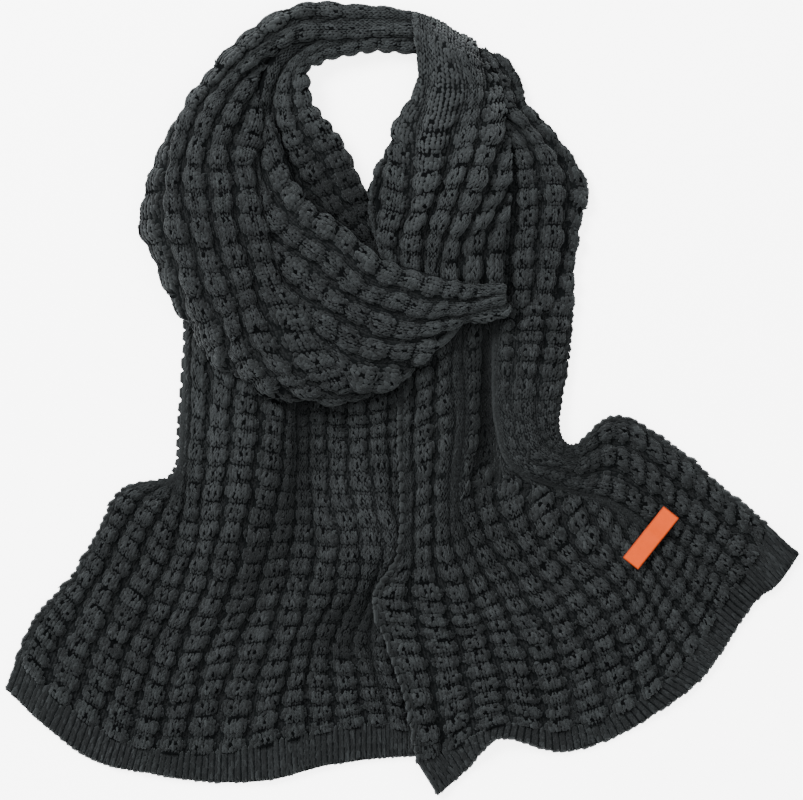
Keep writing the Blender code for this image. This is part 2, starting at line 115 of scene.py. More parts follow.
def through(knots, values, at, steady=False):
    """A smooth curve through values at the knots, read at the places `at`; values may be points.

    A steady curve never turns back between rising values.
    """
    knots, values, at = (np.asarray(a, float) for a in (knots, values, at))
    gaps = np.diff(knots)
    shape = (-1,) + (1,) * (values.ndim - 1)
    slopes = np.diff(values, axis=0) / gaps.reshape(shape)
    before, after = gaps[:-1].reshape(shape), gaps[1:].reshape(shape)
    inner = (slopes[:-1] * after + slopes[1:] * before) / (before + after)
    if steady:
        inner = 2 * slopes[:-1] * slopes[1:] / np.maximum(slopes[:-1] + slopes[1:], NOTHING)
    tangents = np.concatenate([slopes[:1], inner, slopes[-1:]])
    i = np.clip(np.searchsorted(knots, at, side="right") - 1, 0, len(gaps) - 1)
    h = gaps[i].reshape(shape)
    t = ((at - knots[i]) / gaps[i]).reshape(shape)
    return (
        values[i] * (2 * t**3 - 3 * t**2 + 1)
        + tangents[i] * h * (t**3 - 2 * t**2 + t)
        + values[i + 1] * (3 * t**2 - 2 * t**3)
        + tangents[i + 1] * h * (t**3 - t**2)
    )


def unit(vectors):
    return vectors / np.maximum(np.linalg.norm(vectors, axis=-1, keepdims=True), NOTHING)


def tree_of(*nodes):
    """One search tree of some CAD nodes, in millimetres of the plan."""
    points, faces = [], []
    for node in nodes:
        mesh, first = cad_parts[node].data, len(points)
        points += [(v.co.x / MM + PLAN_CENTRE[0], v.co.y / MM + PLAN_CENTRE[1], v.co.z / MM)
                   for v in mesh.vertices]
        faces += [[first + i for i in p.vertices] for p in mesh.polygons]
    return BVHTree.FromPolygons(points, faces)


def top_at(tree, x, y):
    """The highest point of a tree over one place of the plan, or 0."""
    hit = tree.ray_cast(Vector((x, y, SKY)), Vector((0, 0, -1)))[0]
    return hit.z if hit is not None else 0.0


def ring(radius, count):
    """Places on a ring round a point."""
    turns = np.linspace(0, 2 * math.pi, count, endpoint=False)
    return [(radius * math.cos(a), radius * math.sin(a)) for a in turns]


def around(reach):
    """Places to look at round a point: the point, and two rings out to `reach`."""
    return [(0, 0)] + (ring(reach / 2, 8) + ring(reach, 8) if reach else [])


class Stretch:
    """The face of one stretch of cloth, at places u across it and courses v along it.

    A table's cell is x, y, z and, where the ribs drift across the table's columns, the rib number.
    Supports are CAD nodes that carry it, with how far it bridges; a square end runs on into the next
    piece; rows of stitches are counted to a course.
    """

    def __init__(self, sections, fold_ribs, courses, supports=(), spots=(), square=(False, False), rows=4,
                 ribs=None):
        cells = np.asarray(sections, float)
        if cells.shape[2] == 3:
            ribs = fold_ribs if ribs is None else ribs
            ribs = np.broadcast_to(np.asarray(ribs, float)[..., None], (*cells.shape[:2], 1))
            cells = np.concatenate([cells, ribs], axis=2)
        self.sections, self.fold_ribs = cells, fold_ribs
        spacing = np.linalg.norm(np.diff(cells[..., :3], axis=0), axis=2).mean(axis=1)
        self.along = np.concatenate([[0], np.cumsum(spacing)])
        self.length = self.along[-1]
        self.first, self.last = courses
        self.courses = round(2 * self.length / (self.first + self.last))
        self.first_rib, self.last_rib = fold_ribs[0], fold_ribs[-1]
        self.spots, self.square, self.rows = spots, square, rows
        self.rise = None
        if supports:
            self.lift(supports)

    def places(self, v):
        """Millimetres along the cloth at course places v: courses shorten evenly along it."""
        t = np.asarray(v, float) / self.courses
        mean = (self.first + self.last) / 2
        return self.length * (self.first * t + (self.last - self.first) * t * t / 2) / mean

    def plain(self, u, places):
        """The cloth before it is raised, with its rib numbers, at places in millimetres."""
        lines = through(self.along, self.sections, places).transpose(1, 0, 2)
        points = through(self.fold_ribs, lines[..., :3], u)
        ribs = through(self.fold_ribs, lines[..., 3:], u, steady=True)
        return np.concatenate([points, ribs], axis=2).transpose(1, 0, 2)

    def lift(self, supports):
        """Works out how far the cloth is raised to lie on what is under it."""
        steps = max(2, round(self.length / LIFT_STEP) + 1)
        self.coarse = np.linspace(0, self.length, steps)
        ribs = np.arange(0, self.last_rib, LIFT_RIBS)
        self.coarse_ribs = np.array(sorted({self.first_rib, self.last_rib, *ribs}))
        grid = self.plain(self.coarse_ribs, self.coarse)[..., :3]
        along, across = np.gradient(grid, axis=0), np.gradient(grid, axis=1)
        along[0, :, 2] = along[-1, :, 2] = 0
        out = np.cross(across, -along)
        inner = grid - unit(out * np.sign(out[..., 2:].sum())) * WALL
        inner[..., 2] = np.maximum(inner[..., 2], 0)
        rise = np.zeros(grid.shape[:2])
        for node, reach in supports:
            tree, spots = tree_of(node), around(reach)
            for at in np.ndindex(rise.shape):
                x, y, z = inner[at]
                top = max(top_at(tree, x + dx, y + dy) for dx, dy in spots)
                if top > 0:
                    rise[at] = max(rise[at], top + SEAM - z)
        eased = rise.copy()
        for _ in range(2):
            eased[1:-1] = (eased[:-2] + 2 * eased[1:-1] + eased[2:]) / 4
            eased[:, 1:-1] = (eased[:, :-2] + 2 * eased[:, 1:-1] + eased[:, 2:]) / 4
        self.rise = np.maximum(rise, eased)

    def risen(self, u, places):
        """How far the cloth is raised at ribs u and places along it in millimetres."""
        if self.rise is None:
            return np.zeros((len(places), len(u)))
        lines = through(self.coarse, self.rise, places)
        return through(self.coarse_ribs, lines.T, u).T.clip(0)

    def face(self, u, v):
        """The cloth's face under its puffs, and the rib number at each point."""
        places = self.places(v)
        cells = self.plain(u, places)
        cells[..., 2] += self.risen(u, places)
        return cells[..., :3], cells[..., 3]

    def slopes(self, u, v):
        """The face, its rib numbers, its run in mm to a rib, and its outward normal."""
        points, rib = self.face(u, v)
        beside, next_rib = self.face(u + NUDGE, v)
        ahead = self.face(u, v + NUDGE)[0]
        out = unit(np.cross(beside - points, ahead - points))
        pitch = np.linalg.norm(beside - points, axis=2) / np.maximum(next_rib - rib, 0.1 * NUDGE)
        return points, rib, pitch, out * np.sign(out[..., 2].sum())

    def near_spots(self, rib, v):
        """How near each point is to each spot, what is left of its puffs, and how much painted light it
        has, negative for painted shade.
        """
        for at_rib, course, ribs, courses, left, lighter in self.spots:
            yield np.exp(-(((rib - at_rib) / ribs) ** 2) - ((v - course) / courses) ** 2), left, lighter

    def puffed(self, u, v):
        """The outer face with its puffs, how far each point stands over the plain face, its rib number."""
        points, rib, pitch, out = self.slopes(u, v)
        rows = v[:, None]
        # Waves that never line up make the ribs and courses wander, and no two puffs alike.
        across = rib + RIB_WANDER * np.sin(1.7 * rows + 2.3 * rib)
        along = rows + COURSE_WANDER * np.sin(1.9 * rib + 0.4 * rows)
        beside = (GROOVE * np.abs(np.cos(np.pi * across))) ** ACROSS_SHAPE
        between = NECK * np.abs(np.cos(np.pi * along)) ** ALONG_SHAPE
        dome = (1 - beside - between).clip(0) ** DOME
        uneven = 1 + PUFF_UNEVEN * np.sin(13.0 * np.floor(across) + 78.2 * np.floor(along))
        stand = PUFF_HEIGHT * dome * uneven - PUFF_SINK
        full = np.clip((pitch - FLAT_PITCH) / (FULL_PITCH - FLAT_PITCH), 0, 1)
        for near, left, _ in self.near_spots(rib, rows):
            full = full * (1 - (1 - left) * near)
        stand = stand * full
        return points + out * stand[..., None], out, stand, rib


def shell_between(outer, inner):
    """Points and faces of the closed shell between two grids that meet at their rims."""
    rows, columns = outer.shape[:2]
    top = np.arange(rows * columns).reshape(rows, columns)
    bottom = top.copy()
    bottom[1:-1, 1:-1] = rows * columns + np.arange((rows - 2) * (columns - 2)).reshape(rows - 2, -1)

    def quads(a):
        corners = (a[:-1, :-1], a[:-1, 1:], a[1:, 1:], a[1:, :-1])
        return np.stack([c.ravel() for c in corners], axis=1)

    points = np.concatenate([outer.reshape(-1, 3), inner[1:-1, 1:-1].reshape(-1, 3)])
    faces = np.concatenate([quads(top), quads(bottom)[:, ::-1]])
    a, b, c = (points[quads(top)[:, k]] for k in range(3))
    if np.cross(b - a, c - a)[:, 2].sum() < 0:
        faces = faces[:, ::-1]
    return points, faces


def linked(name, data):
    """A new object in the scene."""
    made = bpy.data.objects.new(name, data)
    bpy.context.scene.collection.objects.link(made)
    return made


def add_layer(mesh, name, values):
    """Stores a number or a direction on each point of a mesh."""
    values = np.ascontiguousarray(values, np.float32)
    kind, field = ("FLOAT", "value") if values.ndim == 1 else ("FLOAT_VECTOR", "vector")
    mesh.attributes.new(name, kind, "POINT").data.foreach_set(field, values.ravel())


def plan_mesh(name, points, faces=()):
    """A mesh from points in millimetres of the plan."""
    mesh = bpy.data.meshes.new(name)
    placed = (np.asarray(points, float) - (*PLAN_CENTRE, 0)) * MM
    mesh.from_pydata(placed.tolist(), [], np.asarray(faces).tolist())
    return mesh


def mesh_piece(name, points, faces, finish):
    """One smooth object from points in millimetres of the plan."""
    mesh = plan_mesh(name, points, faces)
    mesh.shade_smooth()
    mesh.materials.append(finish)
    return linked(name, mesh)


def edged(start, end, cuts, rims):
    """Places from start to end, `cuts` to a unit, with two more close to each end to round it."""
    first, last = rims
    middle = np.linspace(start + 2 * first, end - 2 * last, max(3, round((end - start) * cuts)))
    return np.array([start, start + first / 3, start + first, *middle, end - last, end - last / 3, end])


def rounded_shell(name, cloth, cuts, wall, course):
    """The closed shell of a stretch: its puffed outer face, its plain inner face and round edges."""
    rim_u = (EDGE_ROUND / LAID_RIB,) * 2
    rim_v = [(SQUARE_ROUND if square else EDGE_ROUND) / course for square in cloth.square]
    u = edged(cloth.first_rib, cloth.last_rib, cuts[0], rim_u)
    v = edged(0, cloth.courses, cuts[1], rim_v)
    outer, out, stand, _ = cloth.puffed(u, v)
    crest = np.clip((stand + PUFF_SINK) / PUFF_HEIGHT, 0, 1)
    wall = wall(u, v)[..., None]
    inset_u = np.minimum((u - u[0]) / rim_u[0], (u[-1] - u) / rim_u[1])
    inset_v = np.minimum((v - v[0]) / rim_v[0], (v[-1] - v) / rim_v[1])
    inset = np.minimum(inset_u[None], inset_v[:, None]).clip(0, 1)
    swell = np.sqrt(1 - (1 - inset) ** 2)[..., None]
    middle = outer - out * (stand[..., None] + wall / 2)
    outer = middle + out * (wall / 2 + stand[..., None]) * swell
    inner = middle - out * wall / 2 * swell
    for side in (outer, inner):
        side[..., 2] = np.maximum(side[..., 2], FLOOR_GAP)
    piece = mesh_piece(name, *shell_between(outer, inner), ground)
    # What shows of the ground on a crest is deep in a hole, so painted shade makes it darkest there.
    shade = np.concatenate([crest.ravel(), np.zeros(len(piece.data.vertices) - crest.size)])
    add_layer(piece.data, "shade", GROUND_SHADE - shade**3)
    return piece


def lapped_wall(cloth):
    """The thickness of a stretch at places u and v: thinner where it is lifted onto another."""
    def wall(u, v):
        lapped = np.clip(cloth.risen(u, cloth.places(v)) / LAPPED_RISE, 0, 1)
        return WALL + (LAPPED_WALL - WALL) * lapped
    return wall


# -- The yarn --

YARN_COLOURS = ((0.0026, 0.0031, 0.0033, 1), (0.0165, 0.0188, 0.0195, 1))  # its darkest and lightest
# The ground cloth is darker than the yarn: painted shade for what shows between the stitches.
GROUND_PAINTED_SHADE_COLOURS = ((0.0016, 0.0018, 0.0019, 1), (0.0065, 0.0075, 0.0078, 1))
YARN_NOISES = ((0.5, 16.0), (0.9, 620.0))  # slow unevenness of the dye, and flecks
YARN_OFFSET = 0.45  # the middle of those noises
FUZZ = (1400.0, 3.0, 0.35, 0.0006)


def add_node(tree, kind, inputs=(), **settings):
    """A node with its settings, and with its inputs set to values or joined to other nodes."""
    node = tree.nodes.new(kind)
    for name, value in settings.items():
        setattr(node, name, value)
    for key, value in dict(inputs).items():
        if isinstance(value, bpy.types.NodeSocket):
            tree.links.new(value, node.inputs[key])
        else:
            node.inputs[key].default_value = value
    return node


def reckon(tree, operation, *values):
    """What a maths node makes of some values."""
    return add_node(tree, "ShaderNodeMath", enumerate(values), operation=operation).outputs[0]


def dyed_and_painted_shade(name, layer, noises, offset, colours, fuzz, surface):
    """A material between two colours, by a layer of the mesh and some noises, less an offset; on the yarn
    that layer carries painted light and shade as well as each stitch's own tone.

    Noises have a weight and a scale to a metre. Fuzz is a bump: scale, detail, strength, height.
    """
    made = bpy.data.materials.new(name)
    made.use_nodes = True
    tree = made.node_tree
    place = add_node(tree, "ShaderNodeTexCoord").outputs["Object"]

    def noise(scale, detail=2.0):
        inputs = {"Vector": place, "Scale": scale, "Detail": detail}
        return add_node(tree, "ShaderNodeTexNoise", inputs).outputs["Fac"]

    shade = add_node(tree, "ShaderNodeAttribute", attribute_name=layer).outputs["Fac"]
    for weight, scale in noises:
        shade = reckon(tree, "MULTIPLY_ADD", noise(scale), weight, shade)
    dye = {"Factor": reckon(tree, "SUBTRACT", shade, offset), "A": colours[0], "B": colours[1]}
    colour = add_node(tree, "ShaderNodeMix", dye, data_type="RGBA")
    scale, detail, strength, height = fuzz
    relief = {"Height": noise(scale, detail), "Strength": strength, "Distance": height}
    bump = add_node(tree, "ShaderNodeBump", relief)
    shader = tree.nodes["Principled BSDF"]
    tree.links.new(colour.outputs["Result"], shader.inputs["Base Color"])
    tree.links.new(bump.outputs["Normal"], shader.inputs["Normal"])
    for key, value in surface.items():
        shader.inputs[key].default_value = value
    return made


def yarn_finish(name, colours, gloss):
    """Matt fuzzy yarn: each stitch a little lighter or darker at random and by its painted light and shade,
    with flecks and a slow unevenness.
    """
    surface = {
        "Roughness": 0.92,
        "Specular IOR Level": 0.12 * gloss,
        "Sheen Weight": 0.05 * gloss,
        "Sheen Roughness": 0.6,
        "Sheen Tint": (0.62, 0.70, 0.72, 1),
    }
    return dyed_and_painted_shade(name, "shade", YARN_NOISES, YARN_OFFSET, colours, FUZZ, surface)


yarn = yarn_finish("charcoal_yarn", YARN_COLOURS, 1)
# Without gloss, so that its painted shade stays dark.
ground = yarn_finish("charcoal_ground_painted_shade", GROUND_PAINTED_SHADE_COLOURS, 0)

# -- The stitches --

LEGS = 10  # of yarn across a rib, in pairs that make a V
LEG_FULL, LEG_LONG = 1.5, 1.8  # a leg's width and length, to its own share of the cloth
LEG_WIDTHS, LEG_LENGTHS = (1.8, 5.5), (2.5, 10)  # the least and most of each
LEG_THICKNESS = 1.8
LEG_LEAN = math.radians(16)
LEG_SUNK = 0.3  # how deep a leg lies in the ground cloth
LOWEST = (-math.inf, -math.inf, 2.0)  # no leg is nearer to the floor
LOOSE_TILT = math.radians(7)
SLIP, PLUMP_SPREAD, SHADE_SPREAD = 0.2, 0.1, 0.2  # how uneven the stitches are
MARKS = 200000  # drawn for the puffs, to place their holes
FIRST_ROW = 0.2  # where a course's first stitches lie, on its neck
HOLES = 2  # of each five puffs have a second hole
DRAWN_ASIDE, DRAWN_BACK, DRAWN_SHORT = 0.02, 0.05, 0.85  # the legs next to a hole
CREST_PAINTED_LIGHT, GROOVE_PAINTED_SHADE = 0.2, -0.7  # painted light on the crests and painted shade in the grooves, added to each stitch's shade
SHADE_RISE = 0.75  # 1 is even from groove to crest, less puts more painted light on the flanks
CROWDED = 3.0  # ribs gathered closer than this show only one leg in five
COVER_MARGIN = 12.0  # stitches this far under another stretch are left out
CHAIN_ROWS, CHAIN_PLACES = 2, (0.035, 0.12)  # of a selvedge: stitches to a course, ribs in from the edge
CHAIN_WIDTH, CHAIN_LONG, CHAIN_THICKNESS, CHAIN_LEAN = 4.6, 1.25, 5.0, 0.35
CHAIN_SHADE = -0.1
SAMPLES = 20  # to a rib, when a row of stitches is laid out
LEAST_GROWTH, EDGE_CLEAR = 0.05, 0.03  # of rib numbers, and ribs left free at an edge


def yarn_leg():
    """One leg of a stitch, of unit size along Y: a plump three-sided spindle with its tips sunk."""
    points = [(0, -0.5, -0.3)]
    for y in (-0.24, 0.24):
        points += [(0.46, y, -0.2), (0, y, 0.5), (-0.46, y, -0.2)]
    points.append((0, 0.5, -0.3))
    faces = []
    for k in range(3):
        ahead = (k + 1) % 3
        faces += [(0, 1 + k, 1 + ahead), (1 + k, 4 + k, 4 + ahead, 1 + ahead), (7, 4 + ahead, 4 + k)]
    mesh = bpy.data.meshes.new("yarn_leg")
    mesh.from_pydata(points, [], faces)
    mesh.shade_smooth()
    return bpy.data.objects.new("yarn_leg", mesh)


def stitch_nodes():
    """Geometry nodes that set a leg of yarn on each point, by the point's own directions and size."""
    tree = bpy.data.node_groups.new("Stitches", "GeometryNodeTree")
    sockets = (
        ("Geometry", "Geometry", None),
        ("Leg", "Object", None),
        ("Yarn", "Material", None),
        ("Loose Tilt", "Float", LOOSE_TILT),
        ("Seed", "Int", 1),
    )
    for name, kind, value in sockets:
        socket = tree.interface.new_socket(name, in_out="INPUT", socket_type="NodeSocket" + kind)
        if value is not None:
            socket.default_value = value
    tree.interface.new_socket("Geometry", in_out="OUTPUT", socket_type="NodeSocketGeometry")
    entry = add_node(tree, "NodeGroupInput").outputs

    def named(name, kind="FLOAT_VECTOR"):
        read = add_node(tree, "GeometryNodeInputNamedAttribute", {"Name": name}, data_type=kind)
        return read.outputs["Attribute"]

    ways = {"Primary Axis": named("out"), "Secondary Axis": named("along")}
    axes = add_node(tree, "FunctionNodeAxesToRotation", ways, primary_axis="Z", secondary_axis="Y")
    loosest = entry["Loose Tilt"]
    limits = {2: reckon(tree, "MULTIPLY", loosest, -1), 3: loosest, "Seed": entry["Seed"]}
    loose = add_node(tree, "FunctionNodeRandomValue", limits, data_type="FLOAT")
    lean = reckon(tree, "ADD", named("lean", "FLOAT"), loose.outputs[1])
    turn = add_node(tree, "FunctionNodeAxisAngleToRotation", {"Axis": (0, 0, 1), "Angle": lean})
    turns = {"Rotation": axes.outputs["Rotation"], "Rotate By": turn.outputs["Rotation"]}
    leaned = add_node(tree, "FunctionNodeRotateRotation", turns, rotation_space="LOCAL")
    leg = add_node(tree, "GeometryNodeObjectInfo", {"Object": entry["Leg"]})
    laid = {
        "Points": entry["Geometry"],
        "Instance": leg.outputs["Geometry"],
        "Rotation": leaned.outputs["Rotation"],
        "Scale": named("size"),
    }
    legs = add_node(tree, "GeometryNodeInstanceOnPoints", laid)
    real = add_node(tree, "GeometryNodeRealizeInstances", {"Geometry": legs.outputs["Instances"]})
    dressed = {"Geometry": real.outputs["Geometry"], "Material": entry["Yarn"]}
    finish = add_node(tree, "GeometryNodeSetMaterial", dressed)
    add_node(tree, "NodeGroupOutput", {"Geometry": finish.outputs["Geometry"]})
    return tree


leg_shape = yarn_leg()
stitches_tree = stitch_nodes()


def stitched(name, rows, seed):
    """A plain mesh of stitches from a dict of arrays: place, out, along, size, lean and shade."""
    mesh = plan_mesh(name, rows["place"])
    for key in ("out", "along", "size", "lean", "shade"):
        add_layer(mesh, key, rows[key] * MM if key == "size" else rows[key])
    points = linked(name + "_points", mesh)
    modifier = points.modifiers.new("Stitches", "NODES")
    modifier.node_group = stitches_tree
    inputs = {item.name: item.identifier for item in stitches_tree.interface.items_tree
              if item.in_out == "INPUT"}
    for key, value in (("Leg", leg_shape), ("Yarn", yarn), ("Seed", seed)):
        modifier[inputs[key]] = value
    evaluated = points.evaluated_get(bpy.context.evaluated_depsgraph_get())
    made = bpy.data.meshes.new_from_object(evaluated)
    bpy.data.objects.remove(points)
    for key in ("out", "along", "size", "lean"):
        if key in made.attributes:
            made.attributes.remove(made.attributes[key])
    made.name = name
    places = np.empty((len(made.vertices), 3), np.float32)
    made.vertices.foreach_get("co", places.ravel())
    places[:, 2] = np.maximum(places[:, 2], FLOOR_GAP * MM)
    made.vertices.foreach_set("co", places.ravel())
    made.shade_smooth()
    return linked(name, made)


def uncovered(points, covers):
    """Which points are in the open, or within a margin of it, under the CAD nodes that lie over them."""
    seen = np.ones(len(points), bool)
    if not covers:
        return seen
    tree = tree_of(*covers)
    margin = ring(COVER_MARGIN, 6)
    for i, (x, y, z) in enumerate(points):
        seen[i] = any(top_at(tree, x + dx, y + dy) < z for dx, dy in margin)
    return seen


def open_rows(parts, covers):
    """The rows of several sets of stitches that the CAD nodes over them leave in the open."""
    rows = {key: np.concatenate([part[key] for part in parts]) for key in parts[0]}
    keep = uncovered(rows["place"], covers)
    return {key: value[keep] for key, value in rows.items()}


def laid_rows(cloth, v, places):
    """Every place of the given ribs on the given rows of a stretch, as a dict of arrays."""
    reach = cloth.last_rib - cloth.first_rib
    u = np.linspace(cloth.first_rib, cloth.last_rib, round(reach * SAMPLES) + 1)
    outer, out, stand, rib = cloth.puffed(u, v)
    ahead, _, _, rib_ahead = cloth.puffed(u, v + NUDGE)
    across = np.gradient(outer, u, axis=1)
    grown = np.maximum(np.gradient(rib, u, axis=1), LEAST_GROWTH)[..., None]
    along = (ahead - outer) / NUDGE - across * (rib_ahead - rib)[..., None] / NUDGE / grown
    fields = np.concatenate([outer, along, across / grown, out, stand[..., None]], axis=2)
    rows = []
    for i, numbers in enumerate(rib):
        shown = places[(places > numbers.min() + EDGE_CLEAR) & (places < numbers.max() - EDGE_CLEAR)]
        at = np.interp(shown, numbers, u)
        picked = [np.interp(at, u, fields[i, :, k]) for k in range(fields.shape[2])]
        rows.append(np.stack([*picked, shown, np.full(len(shown), v[i]), np.full(len(shown), i)], axis=1))
    rows = np.concatenate(rows)
    names = (("place", 0, 3), ("along", 3, 6), ("across", 6, 9), ("out", 9, 12))
    laid = {name: rows[:, a:b] for name, a, b in names}
    laid.update({name: rows[:, 12 + k] for k, name in enumerate(("stand", "rib", "course", "row"))})
    return laid


def as_stitches(laid, chance, width, length, thickness, sunk, lean, shade, own_face=True):
    """Legs of yarn on laid-out places, each turned to the slope of its own face of the puff."""
    count = len(laid["rib"])
    along, across = unit(laid["along"]), unit(laid["across"])
    normal = laid["out"]
    if own_face:
        normal = unit(np.cross(across, along))
        normal = normal * np.sign((normal * laid["out"]).sum())
    plump = 1 + PLUMP_SPREAD * chance.standard_normal((count, 3)).clip(-2, 2)
    slip = across * chance.normal(0, SLIP, (count, 1)) + along * chance.normal(0, SLIP, (count, 1))
    size = np.stack([np.broadcast_to(a, count) for a in (width, length, thickness)], axis=1)
    return {
        "place": np.maximum(laid["place"] - normal * sunk + slip, LOWEST),
        "out": normal,
        "along": along,
        "size": size * plump,
        "lean": np.broadcast_to(lean, count),
        "shade": shade + SHADE_SPREAD * chance.standard_normal(count),
    }


def panel_stitches(cloth, covers, seed, selvedges):
    """The legs of every stitch on a stretch, and its selvedge chains."""
    chance = np.random.default_rng(seed)
    low, high = cloth.sections[..., 3].min(), cloth.sections[..., 3].max()
    legs = np.arange(math.floor(low) * LEGS, math.ceil(high) * LEGS)
    v = (np.arange(cloth.courses * cloth.rows) + FIRST_ROW) / cloth.rows
    laid = laid_rows(cloth, v, (legs + 0.5) / LEGS)
    leg = np.floor(laid["rib"] * LEGS).astype(int)
    # One or two legs near the heart of each puff are missing, and their neighbours draw back, which leaves
    # small holes that the ground cloth's painted shade makes dark.
    puff = np.floor(laid["rib"]).astype(int) * 1000 + np.floor(laid["course"]).astype(int)
    mark = chance.permutation(MARKS)[(puff * 7) % MARKS]
    row, in_rib = laid["row"].astype(int) % cloth.rows, leg % LEGS
    pitch = np.linalg.norm(laid["across"], axis=1)
    course = np.linalg.norm(laid["along"], axis=1)
    spots = ((mark >= 0, 3 + mark % 2, mark // 4), (mark % 5 < HOLES, 6 + mark // 2 % 2, mark // 32))
    hole = np.zeros(len(leg), bool)
    short = np.ones(len(leg))
    for has, column, turn in spots:
        beside, below = in_rib - column, row - (1 + turn % (cloth.rows - 2))
        hole |= has & (beside == 0) & (below == 0)
        near = has & (np.abs(beside) == 1) & (below == 0)
        laid["place"] = laid["place"] + laid["across"] * (near * beside * DRAWN_ASIDE / LEGS)[:, None]
        near = has & (beside == 0) & (np.abs(below) == 1)
        laid["place"] = laid["place"] + laid["along"] * (near * below * DRAWN_BACK / cloth.rows)[:, None]
        short[near] *= DRAWN_SHORT
    keep = ~hole & ((pitch > CROWDED) | (leg % 5 == 0))
    laid = {key: value[keep] for key, value in laid.items()}
    leg, pitch, course, short = (a[keep] for a in (leg, pitch, course, short))
    # Painted shade in the grooves and painted light on the crests, with each spot's painted light and shade
    # added.
    crest = np.clip((laid["stand"] + PUFF_SINK) / PUFF_HEIGHT, 0, 1) ** SHADE_RISE
    spot_painted_light = sum(near * lighter for near, _, lighter in cloth.near_spots(laid["rib"], laid["course"]))
    parts = [as_stitches(
        laid, chance,
        width=np.clip(pitch / LEGS * LEG_FULL, *LEG_WIDTHS),
        length=np.clip(course / cloth.rows * LEG_LONG, *LEG_LENGTHS) * short,
        thickness=LEG_THICKNESS,
        sunk=LEG_SUNK,
        lean=np.where(leg % 2 == 0, -LEG_LEAN, LEG_LEAN),
        shade=GROOVE_PAINTED_SHADE + (CREST_PAINTED_LIGHT - GROOVE_PAINTED_SHADE) * crest + spot_painted_light,
    )]
    for edge in selvedges:
        chain_v = (np.arange(round(cloth.courses * CHAIN_ROWS)) + 0.5) / CHAIN_ROWS
        inward = 1 if edge == cloth.first_rib else -1
        chain = laid_rows(cloth, chain_v, np.sort(edge + inward * np.array(CHAIN_PLACES)))
        chain["place"] = chain["place"] - chain["out"] * chain["stand"][:, None]
        course = np.linalg.norm(chain["along"], axis=1)
        outer_leg = np.abs(chain["rib"] - edge) < sum(CHAIN_PLACES) / 2
        parts.append(as_stitches(
            chain, chance,
            width=CHAIN_WIDTH,
            length=course / CHAIN_ROWS * CHAIN_LONG,
            thickness=CHAIN_THICKNESS,
            sunk=0,
            lean=np.where(outer_leg, -inward, inward) * CHAIN_LEAN,
            shade=CHAIN_SHADE,
            own_face=False,
        ))
    return open_rows(parts, covers)


def knitted(name, cloth, covers, seed, selvedges=()):
    """A stretch's ground cloth and its stitches, as two pieces."""
    base = rounded_shell(name, cloth, (RIB_CUTS, COURSE_CUTS), lapped_wall(cloth), LAID_COURSE)
    stitches = stitched(name + "_Stitches", panel_stitches(cloth, covers, seed, selvedges), seed)
    for piece in (base, stitches):
        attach(piece, "root")
    return base, stitches


left_cloth = Stretch(LEFT_TAIL[:-1], LEFT_RIBS, TAIL_COURSES, (), LEFT_SPOTS, square=(False, True))
left_tail, left_stitches = knitted(
    "Left_Tail", left_cloth, ("right_tail", "front_loop"), 11, selvedges=(LEFT_RIBS[0],)
)
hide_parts("left_tail")

# ==== Left cuff ====
# The end of the left tail: a fine one-by-one rib in the same yarn, knitted on from the last row of
# puffs, so that the panel's ribs fade into it, and cast off at the edge.

CUFF_FINE_RIBS = 5  # to one rib of the panel
CUFF_HEIGHT, CUFF_SINK, CUFF_SHAPE = 0.7, 0.2, 1.3
PANEL_SHARE = 0.8  # how much of the panel's own ribs runs on into it
CUFF_TUCK = 1.5  # how far the cuff runs up under the tail's last row
CUFF_ROWS, CUFF_COURSE = 5, 5.0
CUFF_CUTS = (10, 1.5)  # mesh points to a rib and to a row
CUFF_LEGS, CUFF_TOP = (-0.2, 0.2), 0.3  # places of the two legs on a fine rib, and of the first row
CUFF_LEG_WIDE, CUFF_LEG_LONG, CUFF_LEG_THICK, CUFF_LEG_SUNK = 0.68, 2.0, 1.6, 0.1
CAST_OFF_ROW, CAST_OFF_LONG, CAST_OFF_LEAN = 0.35, 1.5, 0.15  # how far up, and the legs there
CUFF_SHADE, CAST_OFF_SHADE = -0.16, -0.25


class Cuff(Stretch):
    """The flat band between a tail's last two sections."""

    def __init__(self, sections, fold_ribs, supports=()):
        start, end = (np.asarray(row, float) for row in sections[-2:])
        run = np.linalg.norm((end - start)[:, :2], axis=1, keepdims=True)
        start = start - (end - start) * CUFF_TUCK / run
        ribs = np.arange(0, fold_ribs[-1] + 0.5, 0.5)
        start, end = (through(fold_ribs, row, ribs) for row in (start, end))
        middle = (start + end) / 2
        super().__init__((start, middle, end), ribs, (1.0, 1.0), supports, square=(True, False))
        self.courses = CUFF_ROWS

    def puffed(self, u, v):
        points, rib, pitch, out = self.slopes(u, v)
        fine = np.abs(np.sin(np.pi * rib * CUFF_FINE_RIBS)) ** CUFF_SHAPE
        panel = PANEL_SHARE * np.abs(np.sin(np.pi * rib)) * np.exp(-v[:, None])
        stand = CUFF_HEIGHT * (fine + panel) - CUFF_SINK
        return points + out * stand[..., None], out, stand, rib


